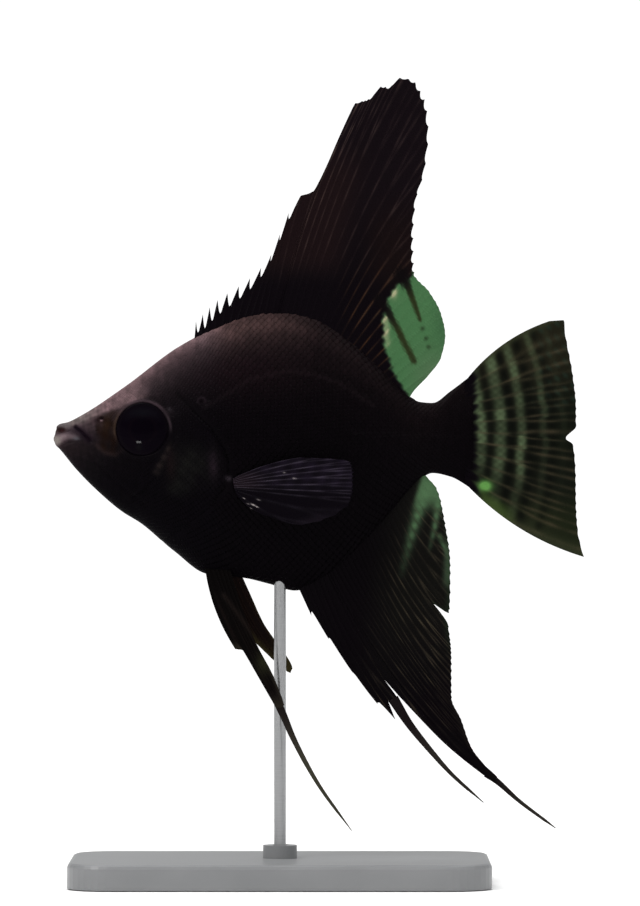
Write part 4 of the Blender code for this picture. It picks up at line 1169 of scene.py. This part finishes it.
def bare(x, z):
    """Where no scales grow: the eye, the muzzle, the free edge of the gill cover and the root of the breast fin."""
    eye = np.hypot(x - EYE_X, z - EYE_Z) < EYE_RADIUS + BARE_ROUND_EYE
    muzzle = x + 0.35 * np.abs(z - 90) < MUZZLE_END + 1.2 * (z > 96)
    off, side, share = beside(GILL_EDGE, x, z)
    edge = (off < BARE_BY_GILL) & (side < 0) & (share > 0.08) & (share < 0.92) | (off < 0.3)
    root = np.hypot((x - BARE_X) / BARE_WIDE, (z - BARE_Z) / BARE_TALL) < 1
    cheek = beside(CHEEK_EDGE, x, z)[0] < BARE_BY_CHEEK
    pore = np.hypot(x - PORE[0], z - PORE[1]) < BARE_ROUND_PORE
    return eye | muzzle | edge | root | cheek | pore


LENGTHS = (
    ("cheek", FIRST_SCALE_X, -21.5), ("shoulder", -21.5, -6), ("flank", -6, 12), ("stalk", 12, TAIL_BASE_X - 0.4),
)
print("columns of scales:", {part: len(set(scale_sites(*ends)[:, 0])) for part, *ends in LENGTHS})

# %% Making the plates
PLATE_ALONG, PLATE_ACROSS = 6, 5
PLATE_POINTS = 2 * PLATE_ALONG * PLATE_ACROSS
PLATE_THICK, FULL_PITCH = 0.058, 1.45
FRONT_SUNK, REAR_UP, SIDES_DOWN, TUBE_UP = 0.07, 0.185, 0.05, 0.09
SHIFTED, ROUGH_LIFT, SHADE_CHANGE = 0.04, 0.03, (0.94, 1.07)
CALM_FACE = ((-34, 0.3), (-18, 0.5), (-8, 1))
PATCH = 0.003
a_grid, b_grid = np.meshgrid(np.linspace(0, 1, PLATE_ALONG), np.linspace(-1, 1, PLATE_ACROSS), indexing="ij")
plate_half = 0.60 * np.sqrt(np.clip(1 - ((a_grid - 0.45) / 0.60) ** 2, 0.12, 1))
plate_length = 1.5 * (a_grid - 0.42) - 0.16 * b_grid ** 2 * a_grid
plate_quads = both_faces(PLATE_ALONG, PLATE_ACROSS)


def per_plate(values):
    """One value for each scale, ready to meet the grid of a plate."""
    return values[:, None, None]


def lay_scales(name, sites, left):
    """One piece of the coat."""
    root_x, row = sites.T
    girth, middle = girth_at(root_x)
    around = (middle + row * PITCH(root_x) * TALL) / girth
    root = on_net(half_net, root_x, around)
    keep = ~bare(root[:, 0], root[:, 2])
    root_x, row, around, root_z = root_x[keep], row[keep], around[keep], root[keep, 2]
    side_line = np.minimum(*(beside(path, root[keep, 0], root_z)[0] for path in (UPPER_SIDE_LINE, LOWER_SIDE_LINE)))
    pitch = PITCH(root_x)
    on_line = per_plate(fall(0.35, 0.6, side_line / pitch))
    calm = per_plate(np.interp(root_x, *zip(*CALM_FACE)) * (0.6 + 0.4 * fade(68, 86, root_z)))
    pitch, size = per_plate(pitch), per_plate(pitch / FULL_PITCH)

    jitter = dice.uniform(-SHIFTED, SHIFTED, (2, len(root_x), 1, 1))
    x = per_plate(root_x) + pitch * (plate_length + jitter[0])
    girth, middle = girth_at(x)
    arc = middle + per_plate(row) * PITCH(x) * TALL + pitch * TALL * (plate_half * b_grid + 0.5 * jitter[1])
    at, out = on_net(half_net, x, arc / girth), on_net(out_net, x, arc / girth)
    out = out / np.linalg.norm(out, axis=-1, keepdims=True)
    tube = on_line * hump(b_grid, 0, 0.35) * hump(a_grid, 0.62, 0.3)
    curl = -FRONT_SUNK + REAR_UP * a_grid - SIDES_DOWN * b_grid ** 2 * (0.4 + 0.6 * a_grid)
    lift = calm * size * (curl + TUBE_UP * tube + dice.uniform(0, ROUGH_LIFT, size.shape) * a_grid)
    upper, lower = at + out * lift[..., None], at + out * (lift - PLATE_THICK * size)[..., None]
    points = np.stack([upper, lower], axis=1) * (MIRROR if left else 1)
    quads = (plate_quads[:, ::-1] if left else plate_quads) + per_plate(np.arange(len(root_x)) * PLATE_POINTS)

    shades = body_shades(at[..., 0], at[..., 2]) * dice.uniform(*SHADE_CHANGE, (len(root_x), 1, 1, 1))
    # Painted light on each plate: a highlight towards its free rear edge and along its middle, and shade at its front,
    # under the plate before it.
    edge = 0.18 * fade(0.5, 1, a_grid) + 0.06 * hump(b_grid, 0, 0.6) - 0.10
    shades = shades * (1 + calm * edge)[..., None] + 3 * tube[..., None]
    place = unwrap_at(np.interp(root_x, station_x, share_along), around, left)
    across = PATCH * np.stack([a_grid - 0.5, (0.5 if left else -0.5) * b_grid], axis=-1)
    patch = place[:, None, None, None] + np.stack([across, across])
    return mesh_piece(
        name, points.reshape(-1, 3), quads.reshape(-1, 4), np.stack([shades, shades], axis=1).reshape(-1, 3),
        scale_finish, unwrap=patch.reshape(-1, 2),
    )


coat = [
    lay_scales("scales_" + part + "_" + word, scale_sites(first_x, last_x), word == "left")
    for word in ("left", "right") for part, first_x, last_x in LENGTHS
]
print("scales:", {piece.name: len(piece.data.polygons) // len(plate_quads) for piece in coat})
print("triangles in the coat:", sum(2 * len(piece.data.polygons) for piece in coat))

# %% [markdown]
# ## The stand
# The stand keeps the shape that its solids have. Its base is coated in a satin grey enamel with the faint orange
# peel of sprayed paint, and the rod is brushed steel: long fine scratches round it, made by a noise that is squeezed
# along the rod.

# %% Finishes of the stand
GREY, DEEP_GREY, STEEL = (0.20, 0.205, 0.21), (0.17, 0.175, 0.18), (0.34, 0.345, 0.35)
SCRATCH_SHADE = 0.72


def ramp_of(tree, first, last, stops=(0, 1)):
    """A node that runs from one colour to another."""
    made = node(tree, "ValToRGB")
    for element, stop, colour in zip(made.color_ramp.elements, stops, (first, last)):
        element.position, element.color = stop, (*colour, 1)
    return made


def enamel(name, colour, deeper):
    material, tree, shader = blank_finish(name, {"Specular IOR Level": 0.45})
    place = node(tree, "TexCoord")
    cloud, peel = node(tree, "TexNoise", {"Scale": 60}), node(tree, "TexNoise", {"Scale": 1500})
    ramp = ramp_of(tree, deeper, colour, (0.3, 0.7))
    shine = node(tree, "MapRange", {"To Min": 0.34, "To Max": 0.46})
    dimple = node(tree, "Bump", {"Strength": 0.12, "Distance": 0.00008})
    wire(
        tree, (place, "Object", cloud, "Vector"), (place, "Object", peel, "Vector"), (cloud, "Fac", ramp, "Fac"),
        (ramp, "Color", shader, "Base Color"), (cloud, "Fac", shine, "Value"), (shine, "Result", shader, "Roughness"),
        (peel, "Fac", dimple, "Height"), (dimple, "Normal", shader, "Normal"),
    )
    return material


def brushed(name, colour):
    material, tree, shader = blank_finish(name, {"Metallic": 1})
    place = node(tree, "TexCoord")
    squeeze = node(tree, "Mapping", {"Scale": (300, 300, 9000)})
    scratch = node(tree, "TexNoise", {"Scale": 1, "Detail": 3})
    ramp = ramp_of(tree, [SCRATCH_SHADE * c for c in colour], colour)
    shine = node(tree, "MapRange", {"To Min": 0.22, "To Max": 0.42})
    groove = node(tree, "Bump", {"Strength": 0.2, "Distance": 0.00003})
    wire(
        tree, (place, "Object", squeeze, "Vector"), (squeeze, "Vector", scratch, "Vector"),
        (scratch, "Fac", ramp, "Fac"), (scratch, "Fac", shine, "Value"), (scratch, "Fac", groove, "Height"),
        (ramp, "Color", shader, "Base Color"), (shine, "Result", shader, "Roughness"),
        (groove, "Normal", shader, "Normal"),
    )
    return material


stand_finishes = {
    "stand_base": enamel("satin grey enamel", GREY, DEEP_GREY), "stand_rod": brushed("brushed steel", STEEL),
}
for name, finish in stand_finishes.items():
    for place in frame["nodes"][name].material_slots:
        place.material = finish
base_top, rod_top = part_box("stand_base")[1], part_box("stand_rod")[1]
print("base:", [round(v / MM, 1) for v in base_top], "top of the rod:", round(rod_top.z / MM, 1))

# %% [markdown]
# ## Studio
# Black skin shows whatever it mirrors, so the room decides how black the fish looks. A wide soft box straight above
# lights the back and the pale table, the room is bright only near the horizon, where the camera looks, and dim
# above, and a small lamp in front of the head puts a spark in the eye.

# %% Table
TABLE_RADIUS = 0.62
JUST_BELOW = 0.0002
RINGS = (0.02, 0.2, 1)


def disc(name, radius, steps=96):
    angle = np.linspace(0, 2 * math.pi, steps, endpoint=False)
    circle = np.stack([np.cos(angle), np.sin(angle), 0 * angle], axis=1)
    mesh = bpy.data.meshes.new(name)
    quads = net_quads(len(RINGS), steps, closed=True)[:, ::-1]
    points = np.concatenate([share * radius * circle for share in RINGS])
    mesh.from_pydata(points.tolist(), [], quads.tolist() + [list(range(steps))])
    return put_in(name, mesh)


table_top = disc("table", TABLE_RADIUS)
matt_white, tree, shader = blank_finish("matt white table", {"Roughness": 0.9, "Specular IOR Level": 0})
dust, paper = node(tree, "TexNoise", {"Scale": 30}), ramp_of(tree, (0.86, 0.86, 0.86), (0.89, 0.89, 0.89))
wire(tree, (dust, "Fac", paper, "Fac"), (paper, "Color", shader, "Base Color"))
table_top.data.materials.append(matt_white)
table_top.location.z = -JUST_BELOW
print("table:", 2 * TABLE_RADIUS, "m across")


# %% Lights
def soft_box(name, place, target, width, power, colour=(1, 1, 1)):
    data = bpy.data.lights.new(name, "AREA")
    data.shape, data.size, data.energy, data.color = "SQUARE", width, power, colour
    made = put_in(name, data)
    made.location = place
    made.rotation_euler = (Vector(target) - Vector(place)).to_track_quat("-Z", "Y").to_euler()
    return made


soft_box("wide box above", (0, 0, 1.5), (0, 0, 0), 2.2, 46)
soft_box("key over the head", (-0.55, -0.55, 0.75), (-0.01, 0, 0.09), 0.35, 5, (1, 0.97, 0.95))
spark = soft_box("spark", (-0.056, -0.16, 0.030), (-0.028, -0.008, 0.088), 0.040, 0.41)
spark.data.shape, spark.data.size_y = "RECTANGLE", 0.022
spark.visible_camera = False
only_eyes = bpy.data.collections.new("only the eyes")
for eye in eyes:
    only_eyes.objects.link(eye)
spark.light_linking.receiver_collection = only_eyes

# %% The room
HORIZON = {"From Min": 0.09, "From Max": 0.32, "To Min": 1.08, "To Max": 0.10}
room = bpy.data.worlds.new("room")
bpy.context.scene.world = room
room.use_nodes = True
tree = room.node_tree
wall = tree.nodes["Background"]
wall.inputs["Color"].default_value = (1, 1, 1, 1)
direction, split = node(tree, "TexCoord"), node(tree, "SeparateXYZ")
horizon = node(tree, "MapRange", HORIZON, interpolation_type="SMOOTHSTEP")
wire(
    tree, (direction, "Generated", split, "Vector"), (split, "Z", horizon, "Value"),
    (horizon, "Result", wall, "Strength"),
)
bpy.context.scene.view_settings.view_transform = "Standard"
print("brightness of the room:", HORIZON["To Min"], "at the horizon,", HORIZON["To Max"], "above")
